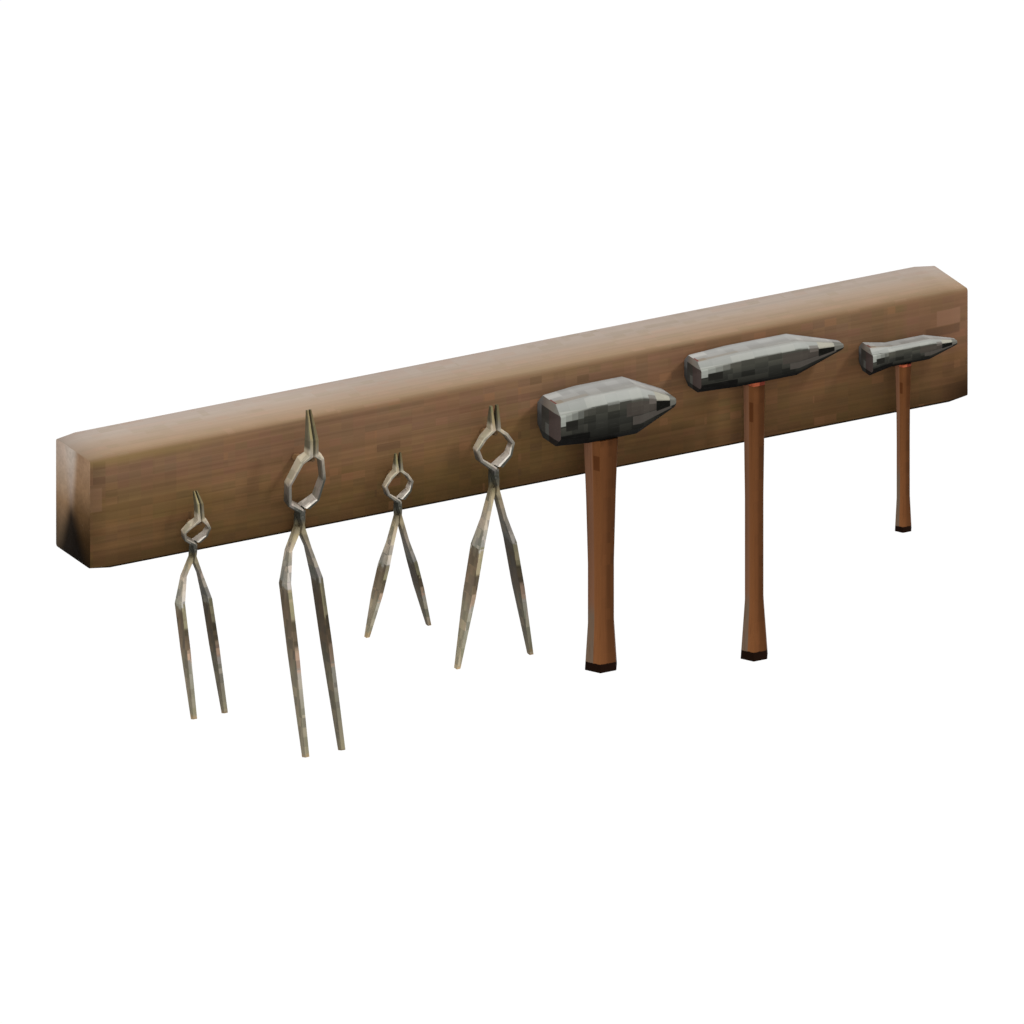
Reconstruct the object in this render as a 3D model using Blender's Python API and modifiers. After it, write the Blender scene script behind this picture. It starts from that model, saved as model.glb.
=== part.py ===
"""Forge tool rack: a wall timber whose steel pegs carry four pairs of bow tongs and three cross-peen hammers.

The timber's back face is the wall plane y = 0, with its middle at the origin. +X runs along the timber, +Y
goes into the wall and +Z is up. A height is measured from the timber's mid-height, and a forward distance
from its front face towards the smith.
"""

from math import atan2, cos, hypot, pi, radians, sin, tan
from types import SimpleNamespace

import bmesh
import bpy
from mathutils import Vector

MM = 0.001


def mm(*values):
    """Sizes in millimetres as a tuple in metres."""
    return tuple(value * MM for value in values)


# Clearance between pieces that touch
FIT = 0.3 * MM

# Timber
BEAM_LENGTH = 1102 * MM
BEAM_HEIGHT = 133 * MM
BEAM_DEPTH = 85 * MM
BEAM_EDGE_RADIUS = 3 * MM
BEAM_END_LENGTH = 24 * MM
BEAM_END_DRAW = 2.5 * MM

# Places of the tools along the timber, the first from its left end and each other from the tool on its left
LEFT_END_TO_TONGS_1 = 122.7 * MM
TONGS_1_TO_TONGS_2 = 133.0 * MM
TONGS_2_TO_TONGS_3 = 119.3 * MM
TONGS_3_TO_TONGS_4 = 117.1 * MM
TONGS_4_TO_HAMMER_1 = 132.6 * MM
HAMMER_1_TO_HAMMER_2 = 196.4 * MM
HAMMER_2_TO_HAMMER_3 = 189.0 * MM

# Pegs
PEG_BURIED_LENGTH = 45 * MM
PEG_EDGE = 0.6 * MM
TONGS_PEG_SLOPE = radians(15)
TONGS_PEG_TIP_INSET = 2.0 * MM
TONGS_PEG_SHOULDER_GAP = 1.2 * MM
HAMMER_PEG_SIDE_GAP = 1.2 * MM
ROUND_SIDES = 16

# Tongs
LAP_MARGIN = 1.0 * MM
LAP_SIDES = 32
RIVET_STAND = 0.35 * MM
RIVET_DOME_WIDTH = 0.7
RIVET_DOME_DROP = 0.3
BEND_REACH = 3 * MM
JAW_ROOT_SLIT = 0.6 * MM
BAR_CHAMFER = 0.24
REIN_CHAMFER = 0.06
SHOULDER_DEPTH_SHARE = 0.5
HEEL_DEPTH_SHARE = 0.4
REIN_BELLY = 0.40
REIN_BELLY_SHARE = 0.95

TONGS_3_FORWARD = 18.6
TONGS_4_FORWARD = 25.1

# Side profile of each pair, as (forward distance, height) points from the tip down, then widths across and
# depths front to back. The bow's inner corners are its shoulder, as (half-width, drop from the top), its
# cheek, whose height is in the profile, and its heel, as (half-width, rise from the bottom).
TONGS = [
    SimpleNamespace(
        name="tongs_1",
        tip=mm(14.3, 12.1), jaw=mm(22.9, -0.4), bow_top=mm(24.9, -18.3), cheek=mm(16.3, -33.0),
        bow_bottom=mm(11.1, -48.5), shoulder=mm(8.4, 6.6), heel=mm(11.4, 8.0),
        crotch=mm(7.2, -74.6), knee=mm(6.0, -90.1), bend=mm(10.5, -120.2), end=mm(47.9, -244.1),
        tip_half_width=2.4 * MM, tip_slit=1.4 * MM, jaw_half_width=4.3 * MM,
        bow_half_width=17.3 * MM, bow_thickness=3.6 * MM, neck_length=18.0 * MM, neck_width=7.5 * MM,
        bend_half_spread=17.0 * MM, end_half_spread=19.3 * MM, rein_width=5.0 * MM, knee_width=4.0 * MM,
        knee_half_spread=9.9 * MM, end_width=4.8 * MM, tip_depth=3.0 * MM, jaw_depth=8.5 * MM,
        bow_top_depth=10.5 * MM, cheek_depth=8.0 * MM, heel_depth=11.8 * MM, neck_depth=9.6 * MM,
        rein_top_depth=7.6 * MM, knee_depth=8.0 * MM, bend_depth=16.2 * MM, end_depth=6.8 * MM,
        rivet_diameter=3.4 * MM, peg_diameter=4.0 * MM, shoulder_diameter=6.0 * MM),
    SimpleNamespace(
        name="tongs_2",
        tip=mm(32.2, 90.0), jaw=mm(39.4, 57.4), bow_top=mm(38.4, 39.1), cheek=mm(24.0, 3.0),
        bow_bottom=mm(13.3, -31.4), shoulder=mm(10.5, 7.0), heel=mm(15.4, 10.2),
        crotch=mm(8.6, -64.9), knee=mm(7.6, -83.5), bend=mm(14.1, -119.2), end=mm(67.7, -306.7),
        tip_half_width=2.9 * MM, tip_slit=1.4 * MM, jaw_half_width=6.2 * MM,
        bow_half_width=23.8 * MM, bow_thickness=4.6 * MM, neck_length=23.0 * MM, neck_width=10.6 * MM,
        bend_half_spread=20.0 * MM, end_half_spread=22.6 * MM, rein_width=5.4 * MM, knee_width=4.5 * MM,
        knee_half_spread=12.0 * MM, end_width=5.2 * MM, tip_depth=3.4 * MM, jaw_depth=12.0 * MM,
        bow_top_depth=14.0 * MM, cheek_depth=11.0 * MM, heel_depth=16.4 * MM, neck_depth=12.0 * MM,
        rein_top_depth=9.4 * MM, knee_depth=10.6 * MM, bend_depth=20.0 * MM, end_depth=8.6 * MM,
        rivet_diameter=4.8 * MM, peg_diameter=5.0 * MM, shoulder_diameter=7.5 * MM),
    SimpleNamespace(
        name="tongs_3",
        tip=mm(TONGS_3_FORWARD, 11.5), jaw=mm(TONGS_3_FORWARD, 1.4), bow_top=mm(TONGS_3_FORWARD, -9.6),
        cheek=mm(TONGS_3_FORWARD, -25.1), bow_bottom=mm(TONGS_3_FORWARD, -42.6),
        shoulder=mm(8.9, 7.2), heel=mm(12.0, 9.1), crotch=mm(TONGS_3_FORWARD, -71.8),
        knee=mm(TONGS_3_FORWARD, -93.2), bend=mm(TONGS_3_FORWARD, -119.4), end=mm(TONGS_3_FORWARD, -200.2),
        tip_half_width=4.0 * MM, tip_slit=3.4 * MM, jaw_half_width=4.6 * MM,
        bow_half_width=18.0 * MM, bow_thickness=3.5 * MM, neck_length=18.3 * MM, neck_width=7.5 * MM,
        bend_half_spread=17.7 * MM, end_half_spread=38.7 * MM, rein_width=5.0 * MM, knee_width=4.4 * MM,
        knee_half_spread=9.5 * MM, end_width=4.4 * MM, tip_depth=3.0 * MM, jaw_depth=6.8 * MM,
        bow_top_depth=11.0 * MM, cheek_depth=8.0 * MM, heel_depth=12.8 * MM, neck_depth=10.0 * MM,
        rein_top_depth=7.6 * MM, knee_depth=11.2 * MM, bend_depth=18.4 * MM, end_depth=5.4 * MM,
        rivet_diameter=3.4 * MM, peg_diameter=4.0 * MM, shoulder_diameter=6.0 * MM),
    SimpleNamespace(
        name="tongs_4",
        tip=mm(TONGS_4_FORWARD, 48.5), jaw=mm(TONGS_4_FORWARD, 35.0), bow_top=mm(TONGS_4_FORWARD, 20.7),
        cheek=mm(TONGS_4_FORWARD, 0.2), bow_bottom=mm(TONGS_4_FORWARD, -23.0),
        shoulder=mm(12.1, 9.5), heel=mm(16.4, 12.1), crotch=mm(TONGS_4_FORWARD, -58.1),
        knee=mm(TONGS_4_FORWARD, -83.8), bend=mm(TONGS_4_FORWARD, -115.1), end=mm(TONGS_4_FORWARD, -255.7),
        tip_half_width=5.2 * MM, tip_slit=4.4 * MM, jaw_half_width=6.0 * MM,
        bow_half_width=24.0 * MM, bow_thickness=4.3 * MM, neck_length=24.4 * MM, neck_width=9.8 * MM,
        bend_half_spread=20.5 * MM, end_half_spread=45.9 * MM, rein_width=6.0 * MM, knee_width=5.0 * MM,
        knee_half_spread=10.8 * MM, end_width=4.8 * MM, tip_depth=3.9 * MM, jaw_depth=9.0 * MM,
        bow_top_depth=14.6 * MM, cheek_depth=10.4 * MM, heel_depth=17.0 * MM, neck_depth=12.6 * MM,
        rein_top_depth=9.4 * MM, knee_depth=12.6 * MM, bend_depth=21.4 * MM, end_depth=6.6 * MM,
        rivet_diameter=4.4 * MM, peg_diameter=5.0 * MM, shoulder_diameter=7.5 * MM),
]

# Hammers. Lengths along the head are measured from the handle's axis, to the face on the left and to the peen
# on the right. The handle is hexagonal, and its half-widths run to the corners that lie along the head.
HEAD_BACK_GAP = 1.0 * MM
FACE_CHAMFER_SHARE = 0.50
FACE_FLAT_SHARE = 0.56
FACE_FLAT_CHAMFER = 0.10
FACE_CROWN = 0.04
PEEN_ROUND = 3.0 * MM
PEEN_CHAMFER = 0.4
PEEN_ROOT_HEIGHT = 1.20
PEEN_ROOT_DEPTH = 1.04
PEEN_TIP_HEIGHT = 0.85
PEEN_TIP_DEPTH = 0.88
HANDLE_CORNER_EASE = 0.06
TENON_SHARE = 0.72
EYE_DEPTH_SHARE = 1.45
WEDGE_LENGTH_SHARE = 0.62
WEDGE_POINT = 0.8 * MM
COLLAR_WALL = 1.3 * MM
COLLAR_STAND = 0.3 * MM
HANDLE_END_ROUND = 1.2 * MM
HAMMER_1_HANDLE_LENGTH = 305.3 * MM
HAMMER_2_HANDLE_LENGTH = 350.7 * MM
HAMMER_3_HANDLE_LENGTH = 212.0 * MM
HAMMER_1_HALF_HEIGHT = 28.1 * MM
HAMMER_2_HALF_HEIGHT = 20.3 * MM
HAMMER_3_HALF_HEIGHT = 12.1 * MM

HAMMERS = [
    SimpleNamespace(
        name="hammer_1", height=18.9 * MM, face_length=66.2 * MM, peen_length=86.0 * MM,
        barrel_left=24.4 * MM, barrel_right=35.4 * MM, half_height=HAMMER_1_HALF_HEIGHT, half_depth=27.7 * MM,
        chamfer=10.5 * MM, face_half=25.2 * MM, face_half_depth=27.7 * MM,
        peen_half_height=4.6 * MM, peen_half_depth=18.5 * MM,
        handle_length=HAMMER_1_HANDLE_LENGTH, top_half_width=21.7 * MM, upper_half_width=18.4 * MM,
        grip_half_width=16.1 * MM, end_half_width=19.9 * MM, upper_share=0.26, grip_share=0.55,
        flare_share=0.80, wedge_thickness=4.0 * MM, collar_height=0.0,
        peg_diameter=6.5 * MM, peg_past_middle=2.5 * MM),
    SimpleNamespace(
        name="hammer_2", height=37.8 * MM, face_length=77.9 * MM, peen_length=109.0 * MM,
        barrel_left=30.0 * MM, barrel_right=46.5 * MM, half_height=HAMMER_2_HALF_HEIGHT, half_depth=20.3 * MM,
        chamfer=7.7 * MM, face_half=18.5 * MM, face_half_depth=20.3 * MM,
        peen_half_height=3.2 * MM, peen_half_depth=7.7 * MM,
        handle_length=HAMMER_2_HANDLE_LENGTH, top_half_width=13.5 * MM, upper_half_width=12.0 * MM,
        grip_half_width=11.4 * MM, end_half_width=16.8 * MM, upper_share=0.30, grip_share=0.42,
        flare_share=0.79, wedge_thickness=3.0 * MM, collar_height=4.2 * MM,
        peg_diameter=5.0 * MM, peg_past_middle=1.3 * MM),
    SimpleNamespace(
        name="hammer_3", height=13.3 * MM, face_length=47.6 * MM, peen_length=65.5 * MM,
        barrel_left=19.6 * MM, barrel_right=28.8 * MM, half_height=HAMMER_3_HALF_HEIGHT, half_depth=12.1 * MM,
        chamfer=5.0 * MM, face_half=16.9 * MM, face_half_depth=16.9 * MM,
        peen_half_height=2.8 * MM, peen_half_depth=5.2 * MM,
        handle_length=HAMMER_3_HANDLE_LENGTH, top_half_width=10.0 * MM, upper_half_width=8.4 * MM,
        grip_half_width=8.1 * MM, end_half_width=10.3 * MM, upper_share=0.26, grip_share=0.45,
        flare_share=0.80, wedge_thickness=2.0 * MM, collar_height=2.8 * MM,
        peg_diameter=3.0 * MM, peg_past_middle=0.4 * MM),
]

# Sizes that follow from the driving dimensions

FLAT_SHARE = cos(pi / 6)      # a hexagon's flat, as a share of its corner radius
PITCHES = [LEFT_END_TO_TONGS_1, TONGS_1_TO_TONGS_2, TONGS_2_TO_TONGS_3, TONGS_3_TO_TONGS_4,
           TONGS_4_TO_HAMMER_1, HAMMER_1_TO_HAMMER_2, HAMMER_2_TO_HAMMER_3]
TOOL_PLACES = [sum(PITCHES[:count + 1]) - BEAM_LENGTH / 2 for count in range(len(PITCHES))]


# Scene, collections and finishes

for leftover in list(bpy.data.objects):
    bpy.data.objects.remove(leftover, do_unlink=True)


def new_collection(name):
    collection = bpy.data.collections.new(name)
    bpy.context.scene.collection.children.link(collection)
    return collection


PARTS = new_collection("forge_tool_rack")
CUTTERS = new_collection("cutters")


def finish(name, colour, roughness, metallic):
    material = bpy.data.materials.new(name)
    material.use_nodes = True
    shader = material.node_tree.nodes["Principled BSDF"]
    shader.inputs["Base Color"].default_value = (*colour, 1.0)
    shader.inputs["Roughness"].default_value = roughness
    shader.inputs["Metallic"].default_value = metallic
    return material


TIMBER = finish("oiled_timber", (0.155, 0.082, 0.033), 0.75, 0.0)
PEG_STEEL = finish("peg_steel", (0.10, 0.10, 0.10), 0.50, 1.0)
TONGS_IRON = finish("worn_forged_iron", (0.26, 0.24, 0.19), 0.45, 1.0)
RIVET_IRON = finish("rivet_iron", (0.18, 0.17, 0.15), 0.45, 1.0)
HEAD_STEEL = finish("hammer_steel", (0.20, 0.20, 0.19), 0.42, 1.0)
HANDLE_WOOD = finish("hammer_handle_wood", (0.21, 0.075, 0.022), 0.60, 0.0)
WEDGE_STEEL = finish("wedge_steel", (0.16, 0.16, 0.16), 0.55, 1.0)
COLLAR_RED = finish("red_collar", (0.50, 0.085, 0.035), 0.55, 0.0)


# Modelling helpers

def add_object(name, mesh, collection, parent=None, material=None):
    piece = bpy.data.objects.new(name, mesh)
    collection.objects.link(piece)
    piece.parent = parent
    if material:
        mesh.materials.append(material)
    if collection is CUTTERS:
        piece.hide_render = True
        piece.display_type = "WIRE"
    return piece


def joint_empty(name, place):
    empty = bpy.data.objects.new(name, None)
    empty.location = place
    PARTS.objects.link(empty)
    return empty


def loft(name, rings, collection, parent=None, material=None):
    """A closed body through rings of equal point count, capped at both ends."""
    shape = bmesh.new()
    loops = [[shape.verts.new(point) for point in ring] for ring in rings]
    count = len(loops[0])
    for lower, upper in zip(loops, loops[1:]):
        for index in range(count):
            following = (index + 1) % count
            shape.faces.new((lower[index], lower[following], upper[following], upper[index]))
    shape.faces.new(loops[0])
    shape.faces.new(loops[-1])
    bmesh.ops.recalc_face_normals(shape, faces=shape.faces)
    mesh = bpy.data.meshes.new(name)
    shape.to_mesh(mesh)
    shape.free()
    return add_object(name, mesh, collection, parent, material)


def cylinder(name, radius, start, axis, length, sides, collection, parent=None):
    """A round bar from start along axis."""
    shape = bmesh.new()
    bmesh.ops.create_cone(shape, cap_ends=True, segments=sides, radius1=radius, radius2=radius, depth=length)
    mesh = bpy.data.meshes.new(name)
    shape.to_mesh(mesh)
    shape.free()
    bar = add_object(name, mesh, collection, parent)
    direction = Vector(axis).normalized()
    bar.location = Vector(start) + direction * length / 2
    bar.rotation_euler = direction.to_track_quat("Z", "Y").to_euler()
    return bar


def turned(name, outline, start, axis, parent, material):
    """A pin turned about its axis. The outline is (radius, distance from start), far end first."""
    mesh = bpy.data.meshes.new(name)
    edges = [(index, index + 1) for index in range(len(outline) - 1)]
    mesh.from_pydata([(radius, 0.0, along) for radius, along in outline], edges, [])
    pin = add_object(name, mesh, PARTS, parent, material)
    pin.location = start
    pin.rotation_euler = Vector(axis).to_track_quat("Z", "Y").to_euler()
    screw = pin.modifiers.new("turn", "SCREW")
    screw.axis = "Z"
    screw.angle = 2 * pi
    screw.steps = ROUND_SIDES
    screw.render_steps = ROUND_SIDES
    screw.use_merge_vertices = True
    screw.merge_threshold = 0.00001
    screw.use_smooth_shade = False
    return pin


def cut(piece, cutter):
    boolean = piece.modifiers.new(cutter.name, "BOOLEAN")
    boolean.operation = "DIFFERENCE"
    boolean.solver = "EXACT"
    boolean.object = cutter


def octagon(half_u, half_v, chamfer_u, chamfer_v):
    """Corners of a rectangle with its corners cut off, anticlockwise."""
    return [(half_u, chamfer_v - half_v), (half_u, half_v - chamfer_v),
            (half_u - chamfer_u, half_v), (chamfer_u - half_u, half_v),
            (-half_u, half_v - chamfer_v), (-half_u, chamfer_v - half_v),
            (chamfer_u - half_u, -half_v), (half_u - chamfer_u, -half_v)]


def mix(first, second, share):
    return first + (second - first) * share


# Timber

def rounded_rectangle(half_u, half_v, radius, segments=3):
    corners = [(1, 1), (-1, 1), (-1, -1), (1, -1)]
    points = []
    for quarter, (side_u, side_v) in enumerate(corners):
        for step in range(segments + 1):
            angle = (quarter + step / segments) * pi / 2
            points.append((side_u * (half_u - radius) + radius * cos(angle),
                           side_v * (half_v - radius) + radius * sin(angle)))
    return points


def build_beam():
    """Squared timber with worn long edges and ends that are drawn in a little."""
    stations = [(-BEAM_LENGTH / 2, BEAM_END_DRAW), (BEAM_END_LENGTH - BEAM_LENGTH / 2, 0.0),
                (BEAM_LENGTH / 2 - BEAM_END_LENGTH, 0.0), (BEAM_LENGTH / 2, BEAM_END_DRAW)]
    rings = []
    for along, draw in stations:
        section = rounded_rectangle(BEAM_DEPTH / 2 - draw, BEAM_HEIGHT / 2 - draw, BEAM_EDGE_RADIUS)
        rings.append([(along, u - BEAM_DEPTH / 2, v) for u, v in section])
    return loft("beam", rings, PARTS, material=TIMBER)


def drive_peg(beam, name, place, height, slope, outline):
    """A turned peg in its bored hole. The height is the axis where it leaves the front face.

    The outline is (diameter, distance from the front face along the axis), outer end first.
    """
    axis = Vector((0, -cos(slope), sin(slope)))
    mouth = Vector((place, -BEAM_DEPTH, height))
    start = mouth - axis * PEG_BURIED_LENGTH
    root = outline[-1][0] / 2
    profile = [(0.0, outline[0][1])]
    for index, (diameter, along) in enumerate(outline):
        radius = diameter / 2
        if index == 0:
            profile.append((radius - PEG_EDGE, along))
            profile.append((radius, along - PEG_EDGE))
        else:
            profile.append((radius, along))
    profile += [(root, PEG_EDGE - PEG_BURIED_LENGTH), (root - PEG_EDGE, -PEG_BURIED_LENGTH),
                (0.0, -PEG_BURIED_LENGTH)]
    profile = [(radius, along + PEG_BURIED_LENGTH) for radius, along in profile]
    turned(name, profile, start, axis, beam, PEG_STEEL)
    hole_radius = root / cos(pi / ROUND_SIDES) + FIT
    bore = cylinder(name + "_bore", hole_radius, start - axis * FIT, axis,
                    PEG_BURIED_LENGTH + 2 * hole_radius, ROUND_SIDES, CUTTERS, beam)
    cut(beam, bore)


# Tongs

class SideProfile:
    """The bent middle surface of a pair of tongs, seen from the side."""

    def __init__(self, size):
        self.points = [Vector(point) for point in (size.tip, size.jaw, size.bow_top, size.cheek,
                                                   size.bow_bottom, size.crotch, size.knee, size.bend,
                                                   size.end)]

    def forward(self, height):
        for upper, lower in zip(self.points, self.points[1:]):
            if height >= lower.y or lower is self.points[-1]:
                share = (upper.y - height) / (upper.y - lower.y)
                return mix(upper.x, lower.x, share)

    def normal(self, height):
        """Front-facing normal, as (forward, up), averaged over a short stretch."""
        top = min(height + BEND_REACH, self.points[0].y)
        bottom = max(height - BEND_REACH, self.points[-1].y)
        run = Vector((self.forward(bottom) - self.forward(top), bottom - top)).normalized()
        return Vector((-run.y, run.x))

    def place(self, across, height, offset):
        """The point at an offset in front of the surface."""
        normal = self.normal(height)
        forward = self.forward(height) + offset * normal.x
        return Vector((across, -BEAM_DEPTH - forward, height + offset * normal.y))


def outward_corner(before, corner, after, thickness):
    """The outer corner of a bar whose inner edge runs down the left side through three points."""
    first = (corner - before).normalized()
    second = (after - corner).normalized()
    mean = (first + second).normalized()
    outward = Vector((mean.y, -mean.x))
    return corner + outward * thickness / mean.dot(first)


def half_stations(size):
    """Left edge, right edge, depth and chamfer along the half with the left jaw and the right rein."""
    tip, jaw, top, bottom = size.tip[1], size.jaw[1], size.bow_top[1], size.bow_bottom[1]
    apex = Vector((-JAW_ROOT_SLIT / 2, top))
    shoulder = Vector((-size.shoulder[0], top - size.shoulder[1]))
    cheek = Vector((size.bow_thickness - size.bow_half_width, size.cheek[1]))
    heel = Vector((-size.heel[0], bottom + size.heel[1]))
    base = Vector((0.0, bottom))
    outer_shoulder = outward_corner(apex, shoulder, cheek, size.bow_thickness)
    outer_cheek = outward_corner(shoulder, cheek, heel, size.bow_thickness)
    outer_heel = outward_corner(cheek, heel, base, size.bow_thickness)
    run = (shoulder - apex).normalized()
    offset_apex = apex + Vector((run.y, -run.x)) * size.bow_thickness
    jaw_root = Vector((-size.jaw_half_width,
                       offset_apex.y + (-size.jaw_half_width - offset_apex.x) * run.y / run.x))
    jaw_slit = mix(JAW_ROOT_SLIT, size.tip_slit, (jaw - top) / (tip - top))

    half_neck = size.neck_width / 2
    neck_top = bottom - size.bow_thickness
    neck_bottom = bottom - size.neck_length
    pivot = bottom - size.neck_length / 2
    crotch, bend, end = size.crotch[1], size.bend[1], size.end[1]
    belly = mix(bend, end, REIN_BELLY)
    belly_spread = mix(size.bend_half_spread, size.end_half_spread, REIN_BELLY)

    def across_rein(spread, width, height, depth):
        return (spread - width / 2, height), (spread + width / 2, height), depth, REIN_CHAMFER

    bow_and_boss = [
        ((-size.tip_half_width, tip), (-size.tip_slit / 2, tip), size.tip_depth),
        ((-size.jaw_half_width, jaw), (-jaw_slit / 2, jaw), size.jaw_depth),
        (jaw_root, apex, size.bow_top_depth),
        (outer_shoulder, shoulder, mix(size.bow_top_depth, size.cheek_depth, SHOULDER_DEPTH_SHARE)),
        (outer_cheek, cheek, size.cheek_depth),
        (outer_heel, heel, mix(size.cheek_depth, size.heel_depth, HEEL_DEPTH_SHARE)),
        ((-half_neck, neck_top), base, size.heel_depth),
        ((-half_neck, pivot), (half_neck, neck_top), size.neck_depth),
        ((FIT / 2, neck_bottom), (half_neck, pivot), size.neck_depth),
        ((FIT / 2, crotch), (half_neck, neck_bottom), size.rein_top_depth),
    ]
    reins = [
        across_rein(size.knee_half_spread, size.knee_width, size.knee[1], size.knee_depth),
        across_rein(size.bend_half_spread, size.rein_width, bend, size.bend_depth),
        across_rein(belly_spread, size.rein_width, belly, size.bend_depth * REIN_BELLY_SHARE),
        across_rein(size.end_half_spread, size.end_width, end, size.end_depth),
    ]
    return [(left, right, depth, BAR_CHAMFER) for left, right, depth in bow_and_boss] + reins


def bar_section(profile, left, right, depth, chamfer_share):
    """Eight corners of the bar between its edges, with its long edges chamfered."""
    width = hypot(right[0] - left[0], right[1] - left[1])
    chamfer = chamfer_share * min(width, depth)
    near = chamfer / width
    middle_left = (mix(left[0], right[0], near), mix(left[1], right[1], near))
    middle_right = (mix(right[0], left[0], near), mix(right[1], left[1], near))
    front, back = depth / 2, -depth / 2
    corners = [(left, back + chamfer), (left, front - chamfer), (middle_left, front), (middle_right, front),
               (right, front - chamfer), (right, back + chamfer), (middle_right, back), (middle_left, back)]
    return [profile.place(edge[0], edge[1], offset) for edge, offset in corners]


def build_tongs(size, place, beam):
    """Two bars that cross in a round half-lap at the boss, their rivet, and the peg that the bow hangs on."""
    profile = SideProfile(size)
    pivot_height = size.bow_bottom[1] - size.neck_length / 2
    pivot = profile.place(0.0, pivot_height, 0.0)
    joint = joint_empty(size.name, pivot + Vector((place, 0, 0)))
    tilt = profile.normal(pivot_height)
    front = Vector((0, -tilt.x, tilt.y))
    lap_radius = size.neck_length / 2 + LAP_MARGIN
    lap_length = size.heel_depth
    bore_radius = size.rivet_diameter / 2 / cos(pi / ROUND_SIDES) + FIT

    bore = cylinder(size.name + "_bore", bore_radius, -front * lap_length, front, 2 * lap_length,
                    ROUND_SIDES, CUTTERS, joint)
    rings = [bar_section(profile, *station) for station in half_stations(size)]
    for side, mirror, away in (("front", 1, -front), ("back", -1, front)):
        shaped = [[Vector((mirror * corner.x, corner.y, corner.z)) - pivot for corner in ring]
                  for ring in rings]
        half = loft(f"{size.name}_{side}_half", shaped, PARTS, joint, TONGS_IRON)
        lap = cylinder(f"{size.name}_{side}_lap", lap_radius, away * FIT / -2, away, lap_length,
                       LAP_SIDES, CUTTERS, joint)
        cut(half, lap)
        cut(half, bore)

    rivet_half = size.neck_depth / 2 + RIVET_STAND
    radius = size.rivet_diameter / 2
    dome = [(0.0, 2 * rivet_half),
            (radius * RIVET_DOME_WIDTH, 2 * rivet_half - RIVET_STAND * RIVET_DOME_DROP),
            (radius, 2 * rivet_half - RIVET_STAND)]
    foot = [(across, 2 * rivet_half - along) for across, along in reversed(dome)]
    turned(size.name + "_rivet", dome + foot, -front * rivet_half, front, joint, RIVET_IRON)

    build_tongs_peg(size, profile, place, beam)


def build_tongs_peg(size, profile, place, beam):
    """A shouldered peg that slopes up under the top of the bow."""
    apex_height = size.bow_top[1]
    tip = profile.place(0.0, apex_height, size.bow_top_depth / 2 - TONGS_PEG_TIP_INSET)
    back = profile.place(0.0, apex_height, -size.bow_top_depth / 2)
    opening = atan2(size.shoulder[0], size.shoulder[1])
    tip_forward = -BEAM_DEPTH - tip.y
    shoulder_forward = -BEAM_DEPTH - back.y - TONGS_PEG_SHOULDER_GAP
    tip_height = tip.z - (size.peg_diameter / 2 + FIT) / sin(opening)
    mouth_height = tip_height - tip_forward * tan(TONGS_PEG_SLOPE)
    along = 1 / cos(TONGS_PEG_SLOPE)
    outline = [(size.peg_diameter, tip_forward * along), (size.peg_diameter, shoulder_forward * along),
               (size.shoulder_diameter, shoulder_forward * along)]
    drive_peg(beam, size.name + "_peg", place, mouth_height, TONGS_PEG_SLOPE, outline)


# Hammers

def head_rings(size):
    """Octagonal sections from the crowned face, over the barrel, to the rounded peen."""
    left, right = -size.face_length, size.peen_length
    flat_height = size.face_half * FACE_FLAT_SHARE
    flat_depth = size.face_half_depth * FACE_FLAT_SHARE
    root_height = size.peen_half_height * PEEN_ROOT_HEIGHT
    tip_height = size.peen_half_height * PEEN_TIP_HEIGHT
    stations = [
        (left, flat_height, flat_depth, flat_height * FACE_FLAT_CHAMFER),
        (left + size.face_half * FACE_CROWN, size.face_half, size.face_half_depth,
         size.face_half * FACE_CHAMFER_SHARE),
        (-size.barrel_left, size.half_height, size.half_depth, size.chamfer),
        (size.barrel_right, size.half_height, size.half_depth, size.chamfer),
        (right - PEEN_ROUND, root_height, size.peen_half_depth * PEEN_ROOT_DEPTH, root_height * PEEN_CHAMFER),
        (right, tip_height, size.peen_half_depth * PEEN_TIP_DEPTH, tip_height * PEEN_CHAMFER),
    ]
    return [[(along, u, v) for u, v in octagon(half_depth, half_height, chamfer, chamfer)]
            for along, half_height, half_depth, chamfer in stations]


def handle_section(half_width, height, margin=0.0):
    """A hexagon with eased corners, two of them along the head, and an even margin all round."""
    radius = half_width + margin / FLAT_SHARE
    turns = [count * pi / 3 for count in range(6)]
    corners = [Vector((radius * cos(turn), radius * sin(turn), height)) for turn in turns]
    points = []
    for before, corner, after in zip(corners[-1:] + corners[:-1], corners, corners[1:] + corners[:1]):
        points.append(mix(corner, before, HANDLE_CORNER_EASE))
        points.append(mix(corner, after, HANDLE_CORNER_EASE))
    return points


def handle_rings(size, underside, eye_top):
    """Sections from the flared end, up the waisted grip, past the collar's seat, to the tenon."""
    shoulder = underside - FIT
    end = -size.handle_length
    length = shoulder - end
    seat = shoulder
    rings = [handle_section(size.end_half_width - HANDLE_END_ROUND, end),
             handle_section(size.end_half_width, end + HANDLE_END_ROUND)]
    for share, half_width in ((size.flare_share, size.grip_half_width),
                              (size.grip_share, size.grip_half_width),
                              (size.upper_share, size.upper_half_width)):
        rings.append(handle_section(half_width, shoulder - share * length))
    if size.collar_height:
        seat = shoulder - size.collar_height - FIT
        rings.append(handle_section(size.top_half_width, seat))
        rings.append(handle_section(size.top_half_width, seat, -COLLAR_WALL))
        rings.append(handle_section(size.top_half_width, shoulder, -COLLAR_WALL))
    else:
        rings.append(handle_section(size.top_half_width, shoulder))
    tenon = size.top_half_width * TENON_SHARE
    rings.append(handle_section(tenon, shoulder))
    rings.append(handle_section(tenon, eye_top - FIT))
    return rings


def wedge_rings(size, top, length, growth, half_depth):
    """A thin taper, point down."""
    rings = []
    for height, thickness in ((top - length - growth, WEDGE_POINT), (top, size.wedge_thickness)):
        half = thickness / 2 + growth
        rings.append([(-half, -half_depth, height), (half, -half_depth, height),
                      (half, half_depth, height), (-half, half_depth, height)])
    return rings


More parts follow.
